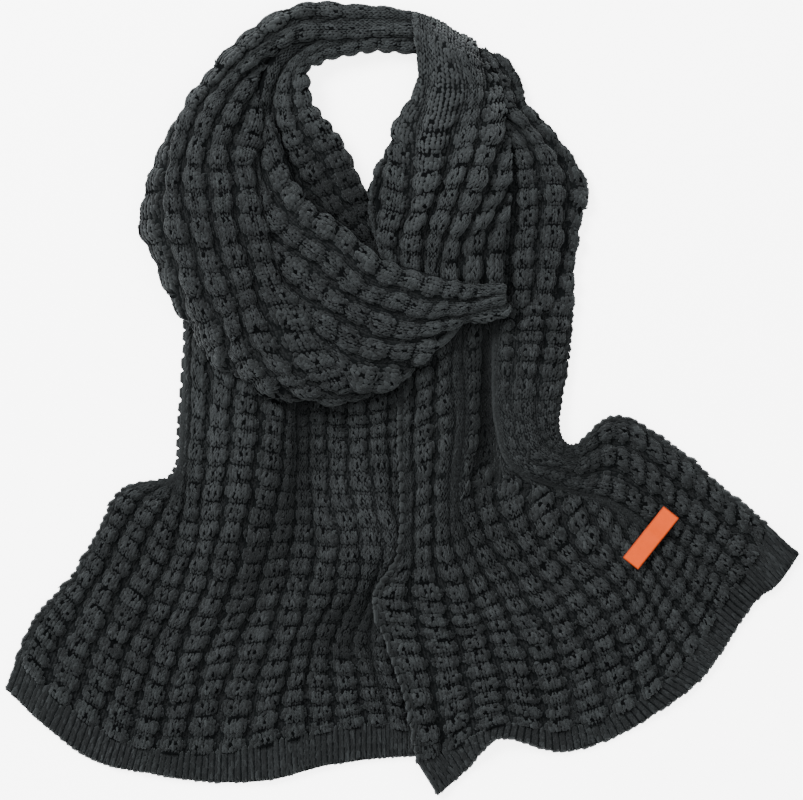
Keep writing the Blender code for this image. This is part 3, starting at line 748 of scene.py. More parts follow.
def cuff_pieces(name, cloth, covers, seed):
    """A cuff's ground cloth and its stitches."""
    chance = np.random.default_rng(seed)
    base = rounded_shell(name, cloth, CUFF_CUTS, lambda u, v: np.full((len(v), len(u)), WALL), CUFF_COURSE)
    fine = np.arange(round(cloth.last_rib * CUFF_FINE_RIBS)) + 0.5
    places = np.array([(f + side) / CUFF_FINE_RIBS for f in fine for side in CUFF_LEGS])
    laid = laid_rows(cloth, np.linspace(CUFF_TOP, CUFF_ROWS - 1, CUFF_ROWS), places)
    pitch, course = (np.linalg.norm(laid[key], axis=1) for key in ("across", "along"))
    left = (laid["rib"] * CUFF_FINE_RIBS) % 1 < 0.5
    rows = as_stitches(
        laid, chance,
        width=pitch / CUFF_FINE_RIBS * CUFF_LEG_WIDE,
        length=course * CUFF_LEG_LONG,
        thickness=CUFF_LEG_THICK,
        sunk=CUFF_LEG_SUNK,
        lean=np.where(left, -LEG_LEAN, LEG_LEAN) / 2,
        shade=CUFF_SHADE,
    )
    edge = laid_rows(cloth, np.array([CUFF_ROWS - CAST_OFF_ROW]), fine / CUFF_FINE_RIBS)
    edge["along"], edge["across"] = edge["across"], edge["along"]
    cast_off = as_stitches(
        edge, chance,
        width=WALL,
        length=np.linalg.norm(edge["along"], axis=1) / CUFF_FINE_RIBS * CAST_OFF_LONG,
        thickness=WALL,
        sunk=WALL / 2,
        lean=CAST_OFF_LEAN,
        shade=CAST_OFF_SHADE,
        own_face=False,
    )
    stitches = stitched(name + "_Stitches", open_rows([rows, cast_off], covers), seed)
    for piece in (base, stitches):
        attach(piece, "root")
    return base, stitches


left_band = Cuff(LEFT_TAIL, LEFT_RIBS)
left_cuff, left_cuff_stitches = cuff_pieces("Left_Cuff", left_band, ("right_tail", "right_hem"), 12)
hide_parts("left_hem")

# ==== Right tail ====
# The other hanging end, all 15 ribs. A centre fold stands up along its inner selvedge, a deep fold runs
# beside it, and below them it fans out to the right over the left tail's edge.

# Columns: selvedge, first and second rib of the centre fold, its far side, foot of the deep fold, line
# where the fan's ribs come out from under the shoulder fold, that fold, its crest, outer selvedge. The
# last row is the end of the cuff.
RIGHT_PLACES = (0, 1.3, 2.5, 4.5, 8, 11, 12, 13.5, 15)
RIGHT_RIBS = (
    *[(0, 1.3, 2.5, 4.5, 5, 5.8, 12, 13.5, 15)] * 2,
    (0, 1.3, 2.5, 4.5, 5.1, 6, 12, 13.5, 15),
    (0, 1.3, 2.5, 4.5, 5.6, 6.8, 12, 13.5, 15),
    (0, 1.3, 2.5, 4.5, 7, 8.5, 12, 13.5, 15),
    (0, 1.3, 2.5, 4.5, 7.6, 10, 12, 13.5, 15),
    (0, 1.3, 2.5, 4.5, 8, 11.3, 12, 13.5, 15),
    *[(0, 1.3, 2.5, 4.5, 8, 11.8, 12, 13.5, 15)] * 3,
)
RIGHT_TAIL = (
    ((0, 60, 6), (18, 74, 8), (34, 84, 8), (54, 98, 7),
     (66, 104, 6), (74, 103, 6), (80, 79, 8), (107, 77, 14), (137, 77, 5)),
    ((-2, -4, 8), (14, 12, 15), (34, 21, 18), (55, 27, 14),
     (64, 30, 4), (72, 31, 5), (76, 32, 12), (101, 32, 18), (134, 34, 6)),
    ((-2, -40, 8), (13, -32, 16), (36, -26, 19), (55, -23, 16),
     (62, -20, 3), (74, -18, 5), (77, -16, 14), (98, -12, 20), (127, -7, 8)),
    ((0, -84, 8), (14, -78, 15), (33, -74, 18), (49, -72, 15),
     (66, -64, 5), (86, -54, 6), (89, -52, 13), (110, -42, 19), (127, -29, 10)),
    ((-4, -128, 10), (13, -125, 14), (34, -119, 15), (59, -110, 11),
     (100, -92, 8), (128, -72.5, 7), (130, -71, 9), (142, -52, 16), (140, -36, 12)),
    ((-22, -156, 15), (16, -160, 10), (46, -158, 10), (80, -146, 8),
     (129, -118, 8), (160, -81.5, 7), (162, -78, 8), (170, -44, 17), (168, -14, 13)),
    ((-10, -200, 15), (27, -199, 7), (58, -195, 6), (107, -191, 7),
     (176, -158, 6), (203, -112, 5), (206, -104, 6), (216, -76, 8), (216, -36, 7)),
    ((5, -247, 14), (35, -240, 6), (68, -234, 8), (121, -231, 5),
     (197, -195, 6), (236, -132, 5), (238, -128, 5), (251, -103, 6), (256, -70, 5)),
    ((13, -291, 13), (40, -282, 5), (74, -263, 13), (128, -267, 5),
     (213, -228, 6), (265, -156, 5), (268, -152, 5), (284, -129, 6), (293, -100, 5)),
    ((29, -318, 7), (51, -298, 5), (73, -272, 14), (130, -282, 5),
     (226, -236, 6), (279, -168, 5), (282, -164, 5), (302, -148, 6), (319, -124, 5)),
)
# It is smooth where it turns the corner under the shoulder, in two spots, the first with a little painted
# light, and deep in its fold, with painted shade there; it is painted a little darker towards its outer
# corner.
RIGHT_SPOTS = (
    (13.4, 7.5, 2.0, 3.2, 0.2, 0.1),
    (12.4, 12.0, 1.4, 2.5, 0.35, 0),
    (5.4, 3.5, 1.0, 5.5, 0.15, -0.9),
    (14.0, 15.0, 2.0, 3.5, 1, -0.2),
)

right_cloth = Stretch(
    RIGHT_TAIL[:-1],
    RIGHT_PLACES,
    TAIL_COURSES,
    [("left_tail", DRAPE_REACH / 2), ("left_hem", DRAPE_REACH / 2)],
    RIGHT_SPOTS,
    square=(True, True),
    ribs=RIGHT_RIBS[:-1],
)
both_selvedges = (RIGHT_PLACES[0], RIGHT_PLACES[-1])
right_tail, right_stitches = knitted(
    "Right_Tail", right_cloth, ("front_loop", "leather_tag"), 13, both_selvedges
)
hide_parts("right_tail")

# ==== Right cuff ====
# The same fine rib, knitted on along the end of the right tail. Its inner corner lies over the left
# cuff.

right_band = Cuff(RIGHT_TAIL, RIGHT_RIBS[-1], [("left_hem", DRAPE_REACH / 2)])
right_cuff, right_cuff_stitches = cuff_pieces("Right_Cuff", right_band, (), 14)
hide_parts("right_hem")

# ==== Right shoulder ====
# The stretch of the knitted panel that comes out from under the right front band and hangs down to the
# right tail. It lies on the floor, folded under on its inner side.

# Columns: edge on the floor under the front band, foot, inner, middle and outer groove, selvedge.
SHOULDER_PLACES = (-1, 0, 1, 2, 3, 3.5)
SHOULDER_RIBS = (
    (2, 2.3, 2.6, 2.9, 3.2, 3.5),
    (1.8, 2.1, 2.4, 2.8, 3.1, 3.5),
    (1.7, 2, 2.3, 2.7, 3.1, 3.5),
    (0.6, 1, 1.4, 2.2, 3, 3.5),
    (-0.2, 0.4, 0.9, 1.8, 2.8, 3.5),
    (-0.2, 0.4, 0.9, 1.9, 2.9, 3.5),
    (-0.4, 0.4, 0.9, 1.9, 2.8, 3.5),
    (-0.4, 0.4, 0.9, 1.9, 2.8, 3.5),
    (-0.2, 0.4, 0.8, 1.8, 2.8, 3.5),
)
RIGHT_SHOULDER = (
    ((44, 292, 4), (60, 281, 6), (66, 280, 6), (72, 278, 6), (77, 276, 6), (81, 274, 5)),
    ((54, 258, 4), (69, 254, 7), (76, 255, 8), (84, 255, 11), (90, 255, 9), (94, 255, 5)),
    ((60, 236, 4), (72, 234, 7), (79, 234, 8), (88, 235, 12), (94, 236, 10), (98, 237, 5)),
    ((62, 216, 4), (73, 216, 7), (81, 217, 9), (96, 217, 13), (108, 218, 11), (115, 219, 5)),
    ((60, 198, 4), (74, 198, 7), (84, 198, 9), (102, 199, 14), (119, 199, 12), (131, 199, 5)),
    ((59, 176, 4), (76, 176, 7), (88, 176, 9), (108, 176, 14), (130, 175, 12), (147, 174, 5)),
    ((55, 138, 4), (76, 138, 7), (87, 139, 8), (109, 140, 14), (128, 140, 12), (142, 139, 5)),
    ((48, 104, 4), (75, 104, 7), (85, 105, 8), (105, 105, 14), (123, 105, 12), (137, 105, 5)),
    ((60, 72, 4), (75, 68, 7), (82, 68, 8), (100, 69, 12), (119, 71, 12), (137, 73, 5)),
)
SHOULDER_COURSES = (17.0, 17.0)

shoulder_cloth = Stretch(
    RIGHT_SHOULDER, SHOULDER_PLACES, SHOULDER_COURSES, square=(False, True), rows=5, ribs=SHOULDER_RIBS
)
shoulder, shoulder_stitches = knitted(
    "Right_Shoulder", shoulder_cloth, ("front_right", "front_loop"), 15, selvedges=(SHOULDER_PLACES[-1],)
)
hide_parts("right_shoulder")

# ==== Hidden wraps ====
# The layers of the wrap that the outer turns cover. Only their sides can be seen, in the gaps between the
# turns and round the neck hole, so they are one rounded body in the same yarn, in the ground cloth's
# painted shade.

# Rows go round the neck hole: centre x, centre y, half width, height.
HIDDEN_RING = (
    (-30, 298, 9, 7),
    (-78, 290, 9, 9),
    (-114, 258, 15, 18),
    (-139, 214, 24, 28),
    (-142, 168, 36, 29),
    (-130, 124, 37, 29),
    (-94, 80, 34, 29),
    (-44, 56, 28, 28),
    (4, 72, 20, 14),
    (36, 128, 26, 18),
    (40, 176, 29, 26),
    (44, 222, 27, 28),
    (38, 262, 15, 20),
    (16, 290, 9, 8),
)
CORE_SQUARENESS = 0.8  # 1 is an ellipse, less is squarer
CORE_SIDES, CORE_STEPS = 40, 24
CORE_RIBS, CORE_RIB_HEIGHT = 7, 0.6
LAYER_STEP, LAYER_HEIGHT, LAYER_GAP = 0.07, 0.5, 0.12


def hidden_body(name):
    """A closed ring of the inner layers, with their step and their ribs on its sides."""
    sections = np.asarray(HIDDEN_RING, float)
    turns = np.arange(-2, len(sections) + 3)  # wraps round past both ends
    steps = np.arange(0, len(sections), 1 / CORE_STEPS)
    x, y, half, height = through(turns, sections[turns % len(sections)], steps).T
    heading = unit(np.stack([np.roll(x, -1) - np.roll(x, 1), np.roll(y, -1) - np.roll(y, 1)], axis=1))
    arc = np.linspace(0, math.pi, CORE_SIDES)
    step_in = 1 - LAYER_STEP * np.exp(-(((np.sin(arc) - LAYER_HEIGHT) / LAYER_GAP) ** 2))
    rib = CORE_RIB_HEIGHT * (np.sin(arc * CORE_RIBS) ** 2 - 1) * np.sin(arc)
    out = np.outer(half, np.cos(arc) * step_in) + rib * np.cos(arc)
    up = (np.outer(height, np.sin(arc).clip(0) ** CORE_SQUARENESS) + rib * np.sin(arc)).clip(FLOOR_GAP)
    rows = np.stack([x[:, None] + heading[:, 1:] * out, y[:, None] - heading[:, :1] * out, up], axis=2)
    index = np.arange(rows.size // 3).reshape(rows.shape[:2])
    ahead, beside = np.roll(index, -1, axis=0), np.roll(index, -1, axis=1)
    faces = np.stack([index, ahead, np.roll(ahead, -1, axis=1), beside], axis=2).reshape(-1, 4)
    return mesh_piece(name, rows.reshape(-1, 3), faces, ground)


hidden_wraps = hidden_body("Hidden_Wraps")
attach(hidden_wraps, "root")
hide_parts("hidden_wraps")

# ==== Inner left collar ====
# The inner turn of the knitted panel, round the back of the neck and down the left side of the neck
# hole. Two of its ribs show, gathered under the loop.

# Columns: edge under the loop, outer groove, middle groove, inner rim, tucked edge at the neck hole.
COLLAR_RIBS = (-1, 0, 1, 2, 2.5)
COLLAR_LEFT = (
    ((14, 305, 6), (14, 297, 11), (14, 288, 12), (13, 277, 10), (13, 280, 6)),
    ((-24, 307, 7), (-22, 299, 14), (-22, 290, 18), (-22, 280, 13), (-22, 283, 5)),
    ((-55, 303, 8), (-50, 294, 14), (-48, 285, 19), (-47, 276, 13), (-47, 279, 5)),
    ((-80, 294, 8), (-72, 285, 14), (-69, 278, 20), (-66, 271, 13), (-68, 274, 5)),
    ((-101, 279, 8), (-91, 271, 14), (-83, 267, 22), (-76, 263, 14), (-79, 265, 5)),
    ((-113, 252, 9), (-101, 251, 15), (-88, 251, 24), (-75, 251, 15), (-79, 251, 5)),
    ((-116, 228, 9), (-103, 231, 16), (-87, 231, 25), (-70, 233, 15), (-75, 233, 5)),
    ((-112, 200, 10), (-98, 207, 16), (-78, 213, 25), (-57, 220, 15), (-61, 217, 5)),
    ((-98, 174, 10), (-84, 182, 15), (-64, 189, 21), (-43, 197, 13), (-47, 193, 5)),
    ((-82, 151, 9), (-69, 160, 12), (-51, 166, 15), (-32, 173, 10), (-36, 169, 5)),
    ((-65, 131, 6), (-53, 142, 8), (-39, 150, 10), (-24, 159, 7), (-27, 156, 5)),
    ((-44, 110, 5), (-33, 122, 6), (-22, 131, 7), (-11, 141, 6), (-13, 138, 5)),
    ((-32, 97, 5), (-22, 107, 6), (-12, 116, 7), (-1, 125, 6), (-3, 122, 5)),
)
COLLAR_COURSES = (16.0, 16.0)

# Painted light round the back, and painted shade deep at the point of the neck hole.
COLLAR_SPOTS = ((1.5, 4.5, 3.0, 6.0, 1, 0.55), (1.5, 15.0, 3.0, 3.0, 1, -0.9))
COLLAR_RESTS = [("hidden_wraps", 0)]

collar_cloth = Stretch(COLLAR_LEFT, COLLAR_RIBS, COLLAR_COURSES, COLLAR_RESTS, COLLAR_SPOTS, rows=5)
collar, collar_stitches = knitted("Inner_Collar", collar_cloth, ("front_loop", "front_right"), 16)
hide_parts("collar_left")

# ==== Right front band ====
# A six-rib band from the back of the neck down the right side of the neck hole, tucked under the loop.
# It is pulled smooth over its upper left.

# Columns: tucked edge and rim at the neck hole, first groove, broad rib, second groove, third groove,
# outer edge.
BAND_PLACES = (-0.5, 0, 1.4, 2.2, 3, 4.2, 6)
BAND_RIBS = (
    (-0.2, 0.3, 1, 1.5, 2, 2.4, 3),
    (-0.2, 0.3, 1, 1.5, 2, 2.6, 3.2),
    (-0.2, 0.3, 1, 1.5, 2, 2.8, 3.4),
    (-0.2, 0.2, 1, 1.5, 2, 3, 3.9),
    (-0.5, -0.2, 1, 1.5, 2, 3, 4.7),
    (-0.8, -0.5, 1, 1.5, 2, 3, 5.2),
    (-0.6, -0.2, 1, 1.5, 2, 3.1, 5.8),
    (-0.3, 0, 1, 1.5, 2, 3.4, 5.8),
    (-0.3, 0, 1, 1.5, 2, 3.4, 5.8),
)
FRONT_RIGHT = (
    ((14, 303, 5), (10, 306, 17), (18, 308, 19), (29, 303, 16), (42, 297, 12), (53, 290, 8), (63, 283, 5)),
    ((19, 288, 6), (12, 292, 22), (19, 292, 30), (29, 289, 33),
     (42, 284, 32), (54, 278, 26), (69, 270, 12)),
    ((19, 252, 6), (14, 252, 16), (20, 249, 30), (31, 246, 37),
     (50, 246, 36), (62, 246, 32), (78, 248, 14)),
    ((4, 221, 6), (-2, 223, 14), (10, 217, 28), (24, 213, 38), (43, 215, 35), (62, 216, 35), (83, 220, 15)),
    ((-9, 189, 6), (-15, 192, 14), (8, 185, 26), (21, 182, 37),
     (34, 182, 34), (54, 185, 36), (87, 185, 15)),
    ((-18, 161, 14), (-25, 163, 19), (5, 155, 26), (14, 153, 34),
     (26, 155, 33), (44, 155, 35), (86, 160, 15)),
    ((-15, 136, 16), (-22, 137, 21), (-2, 128, 25), (8, 125, 29),
     (18, 125, 29), (34, 125, 31), (82, 131, 15)),
    ((-6, 109, 18), (-13, 110, 20), (0, 102, 22), (9, 98, 23), (19, 95, 23), (38, 90, 24), (80, 88, 19)),
    ((2, 96, 17), (-4, 96, 18), (7, 90, 19), (17, 86, 20), (27, 82, 20), (45, 78, 20), (76, 75, 17)),
)
BAND_COURSES = (18.0, 18.0)
# Painted light on its smooth upper left and on its ribs further down.
BAND_SPOTS = ((1.3, 1.5, 1.7, 3.6, 0.12, 0.4), (2.5, 6.0, 3.0, 6.0, 1, 0.45))

band_cloth = Stretch(
    FRONT_RIGHT,
    BAND_PLACES,
    BAND_COURSES,
    [("hidden_wraps", 0), ("collar_left", 0), ("right_shoulder", 0)],
    BAND_SPOTS,
    rows=5,
    ribs=BAND_RIBS,
)
band, band_stitches = knitted("Right_Front_Band", band_cloth, ("front_loop",), 17)
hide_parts("front_right")

# ==== Front loop ====
# The widest turn and the topmost: gathered round the back of the neck and down the left in a broad
# roll. Its inner edge is a fold, and its lower edge rolls under.

# Columns: tucked edge, rim, four grooves or places between them, fold. Cells: x, y, z, rib number.
ROLL_RIBS = (-1, 0, 1, 2, 3, 4, 5)
FRONT_ROLL = (
    ((17, 306, 5, 0.6), (17, 309, 10, 1), (17, 306, 14, 1.5), (17, 303, 14, 2),
     (17, 296, 15, 2.5), (17, 291, 14, 2.8), (17, 287, 9, 3)),
    ((-14, 311, 5, 0.6), (-14, 315, 11, 1), (-14, 310, 17, 1.5), (-14, 303, 17, 2),
     (-14, 296, 18, 2.5), (-14, 291, 17, 2.8), (-14, 287, 11, 3)),
    ((-46, 313, 5, 0.6), (-46, 317, 12, 1), (-46, 311, 21, 1.5), (-46, 303, 21, 2),
     (-46, 295, 22, 2.5), (-46, 290, 21, 2.8), (-46, 286, 14, 3)),
    ((-79, 313, 5, 0.7), (-79, 317, 13, 1.1), (-79, 311, 24, 1.6), (-78, 303, 24, 2),
     (-79, 294, 25, 2.5), (-80, 287, 23, 2.8), (-80, 281, 16, 3)),
    ((-117, 291, 5, 0.8), (-122, 295, 15, 1.1), (-117, 290, 28, 1.6), (-112, 283, 30, 2),
     (-110, 280, 27, 2.5), (-105, 277, 21, 2.8), (-101, 274, 12, 3)),
    ((-135, 272, 5, 0.8), (-140, 276, 17, 1.2), (-135, 273, 31, 1.6), (-130, 269, 33, 2),
     (-126, 267, 32, 2.5), (-119, 264, 25, 3), (-113, 261, 14, 3.6)),
    ((-153, 250, 6, 0.9), (-158, 254, 18, 1.3), (-153, 252, 33, 1.7), (-148, 249, 37, 2),
     (-135, 245, 37, 3), (-121, 240, 29, 4), (-114, 237, 17, 4.6)),
    ((-169, 229, 6, 0.7), (-175, 232, 18, 1), (-169, 231, 34, 1.5), (-162, 230, 39, 2),
     (-147, 224, 42, 3), (-130, 217, 36, 4), (-108, 207, 25, 5)),
    ((-189, 189, 7, 0), (-195, 191, 18, 0.5), (-187, 191, 34, 1), (-174, 191, 41, 2),
     (-155, 190, 45, 3), (-137, 189, 42, 4), (-116, 189, 33, 5)),
    ((-195, 169, 8, 0.1), (-202, 169, 18, 0.4), (-191, 170, 34, 1), (-175, 170, 42, 2),
     (-154, 170, 46, 3), (-133, 169, 43, 4), (-112, 167, 35, 5)),
    ((-201, 142, 10, 0.1), (-208, 142, 20, 0.35), (-191, 143, 37, 1), (-172, 146, 44, 2),
     (-152, 147, 46, 3), (-131, 147, 43, 4), (-107, 145, 37, 5)),
    ((-189, 112, 12, 0.1), (-196, 112, 21, 0.35), (-183, 111, 37, 1), (-163, 109, 44, 2),
     (-142, 109, 46, 3), (-122, 111, 43, 4), (-100, 115, 37, 5)),
    ((-177, 85, 10, 0.45), (-184, 84, 22, 0.65), (-174, 87, 36, 1.15), (-156, 87, 43, 2),
     (-136, 89, 46, 3), (-116, 91, 43, 4), (-92, 95, 37, 5)),
    ((-166, 62, 10, 0.7), (-172, 59, 22, 0.9), (-161, 63, 35, 1.35), (-148, 67, 42, 2),
     (-129, 70, 45, 3), (-110, 73, 43, 4), (-78, 78, 38, 5)),
    ((-152, 45, 9, 1), (-158, 40, 22, 1.2), (-150, 46, 34, 1.55), (-141, 49, 40, 2),
     (-124, 52, 44, 3), (-102, 55, 43, 4), (-68, 60, 39, 5)),
    ((-139, 31, 8, 1.5), (-144, 26, 22, 1.7), (-139, 31, 32, 1.95), (-130, 33, 38, 2.35),
     (-116, 36, 43, 3), (-96, 39, 44, 4), (-58, 45, 39, 5)),
    ((-120, 19, 7, 1.8), (-126, 14, 23, 2), (-124, 17, 30, 2.15), (-119, 19, 36, 2.4),
     (-106, 21, 42, 3), (-84, 24, 44, 4), (-46, 34, 39, 5)),
    ((-90, 8, 7, 2.5), (-95, 2, 23, 2.7), (-94, 5, 31, 2.85), (-91, 8, 36, 3.05),
     (-87, 10, 40, 3.3), (-71, 13, 43, 4), (-42, 21, 38, 5)),
    ((-55, 2, 7, 2.9), (-58, -4, 22, 3.1), (-57, -1, 30, 3.3), (-55, 1, 34, 3.6),
     (-54, 3, 36, 3.9), (-50, 6, 37, 4.3), (-40, 11, 33, 5)),
    ((-24, 9, 5, 3.1), (-25, 5, 12, 3.3), (-25, 7, 18, 3.5), (-24, 9, 22, 3.8),
     (-23, 11, 24, 4.1), (-22, 14, 24, 4.5), (-20, 18, 20, 5)),
)
LOOP_COURSES = (21.0, 21.0)

ROLL_RESTS = [("hidden_wraps", 0), ("collar_left", 0), ("left_tail", DRAPE_REACH)]
# It is stretched round the back of the neck, with painted light there, a little along its rim, and painted
# lighter on its shoulder.
ROLL_SPOTS = ((2.2, 1.0, 3.0, 4.5, 0.3, 0.5), (0.3, 12.0, 0.8, 9.0, 0.8, 0), (2.0, 8.0, 3.0, 4.0, 1, 0.25))

roll_cloth = Stretch(FRONT_ROLL, ROLL_RIBS, LOOP_COURSES, ROLL_RESTS, ROLL_SPOTS, rows=6)
roll, roll_stitches = knitted("Front_Loop", roll_cloth, ("front_right",), 18)
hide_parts("front_loop")

# ==== Front turn ====
# The same turn past its fold: the ribs come out from under it, run down to the right under a broad
# lip, and end in a blunt fold tucked in at the right.

# Columns: lip, crest of its rib, four grooves, rolled lower edge, tucked edge. At its end the ribs close
# up and pass under the lower edge.
TURN_PLACES = (0, 0.5, 1, 2, 3, 4, 5, 5.5)
TURN_RIBS = (*[TURN_PLACES] * 9, (0, 0.5, 1, 2, 3, 3.9, 4.7, 5.2), (0, 0.5, 1, 1.9, 2.7, 3.3, 3.9, 4.3),
             (0, 0.5, 1, 1.7, 2.2, 2.7, 3.1, 3.4), *[(0, 0.5, 1, 1.6, 2, 2.3, 2.6, 3)] * 2)
FRONT_TURN = (
    ((-105, 227, 18), (-109, 222, 20), (-113, 217, 22), (-117, 211, 24),
     (-120, 206, 25), (-123, 201, 25), (-126, 196, 23), (-127, 192, 18)),
    ((-94, 199, 20), (-103, 194, 26), (-112, 187, 29), (-118, 182, 30),
     (-123, 175, 30), (-128, 170, 29), (-132, 164, 26), (-132, 160, 20)),
    ((-82, 173, 22), (-89, 164, 36), (-97, 154, 35), (-111, 142, 31),
     (-116, 135, 31), (-121, 129, 30), (-125, 123, 27), (-125, 118, 20)),
    ((-68, 153, 24), (-73, 146, 39), (-80, 137, 40), (-92, 122, 35),
     (-104, 107, 32), (-110, 99, 31), (-114, 91, 28), (-114, 86, 20)),
    ((-50, 145, 27), (-56, 135, 41), (-62, 125, 43), (-73, 107, 39),
     (-84, 87, 34), (-92, 75, 32), (-97, 67, 29), (-97, 62, 12)),
    ((-37, 134, 29), (-42, 125, 42), (-48, 115, 44), (-58, 95, 42),
     (-70, 77, 37), (-80, 60, 34), (-85, 51, 31), (-86, 46, 10)),
    ((-22, 118, 30), (-28, 110, 42), (-33, 100, 44), (-44, 84, 43),
     (-54, 67, 39), (-65, 49, 36), (-71, 39, 32), (-71, 34, 9)),
    ((-7, 110, 31), (-12, 101, 40), (-17, 91, 42), (-28, 75, 42),
     (-38, 58, 40), (-48, 39, 38), (-55, 27, 32), (-55, 21, 9)),
    ((10, 105, 31), (6, 96, 38), (1, 87, 40), (-9, 68, 40),
     (-19, 50, 39), (-28, 30, 40), (-37, 6, 29), (-36, 12, 8)),
    ((27, 99, 31), (24, 91, 36), (20, 79, 38), (11, 63, 38),
     (3, 46, 38), (-4, 30, 38), (-9, 11, 27), (-9, 17, 8)),
    ((44, 95, 29), (42, 87, 33), (38, 79, 34), (32, 66, 34),
     (26, 54, 33), (20, 43, 31), (14, 31, 24), (14, 37, 7)),
    ((62, 92, 25), (61, 87, 28), (60, 80, 29), (57, 71, 28),
     (55, 67, 26), (52, 64, 23), (49, 60, 18), (50, 63, 6)),
    ((80, 93, 20), (80, 88, 24), (80, 84, 24), (80, 79, 23),
     (80, 75, 21), (80, 72, 18), (80, 69, 14), (79, 71, 9)),
    ((83, 91, 6), (83, 88, 8), (83, 85, 9), (83, 82, 9),
     (83, 80, 8), (83, 78, 7), (82, 76, 6), (82, 77, 5)),
)
TURN_SPOTS = ((1.5, 14.0, 3.0, 3.0, 1, 0.45),)  # its end is painted lighter: painted light

turn_cloth = Stretch(
    FRONT_TURN,
    TURN_PLACES,
    LOOP_COURSES,
    [("hidden_wraps", 0), ("collar_left", DRAPE_REACH), ("right_shoulder", DRAPE_REACH),
     ("front_right", DRAPE_REACH), ("left_tail", DRAPE_REACH), ("right_tail", DRAPE_REACH)],
    TURN_SPOTS,
    rows=6,
    ribs=TURN_RIBS,
)
turn, turn_stitches = knitted("Front_Turn", turn_cloth, (), 19)
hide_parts("front_loop")

# ==== Tag ====
# A small bare leather tag, cut with square corners, its edges burnished darker, sewn from behind to the
# ribs of the right tail.

TAG_LENGTH, TAG_WIDTH, TAG_THICKNESS = 53.0, 16.0, 1.6
TAG_CENTRE, TAG_TURN = (199.2, -110.8), math.radians(51.7)
TAG_CORNER, TAG_ROUND = 1.2, 0.8  # of its outline, and of its edges
TAG_CUTS = 1.2  # mesh points to a millimetre
TAG_RISE = 3.2  # over the crests of the tail, for its stitches
TAG_BENDS = 10  # places along it that follow the crests
TAG_COLOURS = ((0.43, 0.045, 0.0, 1), (0.10, 0.010, 0.001, 1))  # its face and its edges
BURNISHED = 1.3  # how far in from its edges it is dark
TAG_MOTTLE, TAG_GRAIN = ((0.22, 260.0),), (900.0, 2.0, 0.25, 0.0003)  # noise and bump


def on_tag(u, v):
    """A place of the plan from places along and across the tag."""
    cos, sin = math.cos(TAG_TURN), math.sin(TAG_TURN)
    return TAG_CENTRE[0] + u * cos - v * sin, TAG_CENTRE[1] + u * sin + v * cos


def tag_plate(name, finish):
    """The tag as a thin plate bent over the crests under it, with rounded corners and edges."""
    half = TAG_LENGTH / 2, TAG_WIDTH / 2
    along, across = (edged(-h, h, TAG_CUTS, (TAG_ROUND,) * 2) for h in half)
    u, v = np.meshgrid(along, across)
    # Pull the corners in to an arc.
    over_u, over_v = np.abs(u) - (half[0] - TAG_CORNER), np.abs(v) - (half[1] - TAG_CORNER)
    corner = (over_u > 0) & (over_v > 0)
    pull = np.maximum(over_u, over_v) / np.maximum(np.hypot(over_u, over_v), NOTHING)
    u = np.where(corner, np.sign(u) * (half[0] - TAG_CORNER + over_u * pull), u)
    v = np.where(corner, np.sign(v) * (half[1] - TAG_CORNER + over_v * pull), v)
    tree, knots = tree_of("right_tail"), np.linspace(-half[0], half[0], TAG_BENDS)
    crests = []
    for knot in knots:
        beside = [on_tag(knot, side) for side in (-half[1], 0, half[1])]
        looks = [(x + dx, y + dy) for x, y in beside for dx, dy in around(DRAPE_REACH)]
        crests.append(max(top_at(tree, *look) for look in looks))
    rest = through(knots, crests, u.ravel()).reshape(u.shape) + TAG_RISE
    inset = np.minimum(half[0] - np.abs(u), half[1] - np.abs(v))
    swell = np.sqrt(1 - (1 - (inset / TAG_ROUND).clip(0, 1)) ** 2)
    middle = np.stack([*on_tag(u, v), rest + TAG_THICKNESS / 2], axis=2)
    lift = (swell * TAG_THICKNESS / 2)[..., None] * np.array([0, 0, 1.0])
    piece = mesh_piece(name, *shell_between(middle + lift, middle - lift), finish)
    border = (1 - inset / BURNISHED).clip(0, 1)
    add_layer(piece.data, "border", np.concatenate([border.ravel(), border[1:-1, 1:-1].ravel()]))
    return piece


leather_surface = {"Roughness": 0.6, "Specular IOR Level": 0.1}
leather = dyed_and_painted_shade("tan_leather", "border", TAG_MOTTLE, 0, TAG_COLOURS, TAG_GRAIN, leather_surface)
tag = tag_plate("Leather_Tag", leather)
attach(tag, "root")
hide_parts("leather_tag")

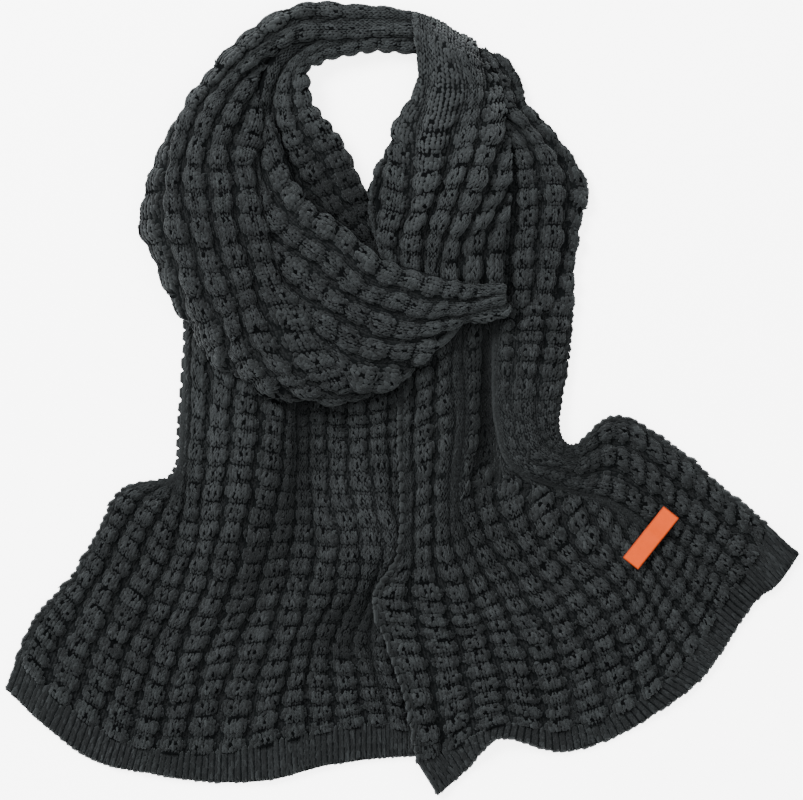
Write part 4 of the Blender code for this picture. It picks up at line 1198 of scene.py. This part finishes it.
# ==== Studio ====
# A plain pale floor, soft light from above and the upper left, and the camera straight overhead.

FLOOR_SIDE = 12.0
FLOOR_GLOW = 4.0  # the floor is lit from below
FLOOR_SURFACE = {
    "Base Color": (0.97, 0.97, 0.97, 1),
    "Roughness": 0.9,
    "Emission Color": (1, 1, 1, 1),
    "Emission Strength": FLOOR_GLOW,
}
ROOM_LIGHT = 1.45
# Lamps: name, place, size and watts.
LAMPS = (("Key", (-1.6, 1.6, 2.2), 1.4, 260), ("Overhead", (0.3, -0.2, 3.0), 2.5, 75))
CAMERA_PLACE = (-0.0009, -0.0006, 4.0)
CAMERA_REACH = 50
FRAME_WIDTH, FRAME_PLANE = 0.6424, 0.015  # what the camera sees across, in metres, at this height

floor_finish = bpy.data.materials.new("pale_floor")
floor_finish.use_nodes = True
for key, value in FLOOR_SURFACE.items():
    floor_finish.node_tree.nodes["Principled BSDF"].inputs[key].default_value = value
floor_mesh = bpy.data.meshes.new("Floor")
side = FLOOR_SIDE / 2
corners = [(-side, -side, 0), (side, -side, 0), (side, side, 0), (-side, side, 0)]
floor_mesh.from_pydata(corners, [], [(0, 1, 2, 3)])
floor_mesh.materials.append(floor_finish)
floor = linked("Floor", floor_mesh)

world = bpy.data.worlds.new("Studio")
world.use_nodes = True
world.node_tree.nodes["Background"].inputs["Color"].default_value = (1, 1, 1, 1)
world.node_tree.nodes["Background"].inputs["Strength"].default_value = ROOM_LIGHT
bpy.context.scene.world = world

for name, place, size, watts in LAMPS:
    light = bpy.data.lights.new(name, "AREA")
    light.shape, light.size, light.energy = "DISK", size, watts
    lamp = linked(name, light)
    lamp.location = place
    lamp.rotation_euler = (-Vector(place)).to_track_quat("-Z", "Y").to_euler()

lens = bpy.data.cameras.new("Overhead_View")
lens.type, lens.sensor_width = "PERSP", 36.0
lens.lens = lens.sensor_width * (CAMERA_PLACE[2] - FRAME_PLANE) / FRAME_WIDTH
lens.clip_end = CAMERA_REACH
camera = linked("Overhead_View", lens)
camera.location = CAMERA_PLACE
bpy.context.scene.camera = camera
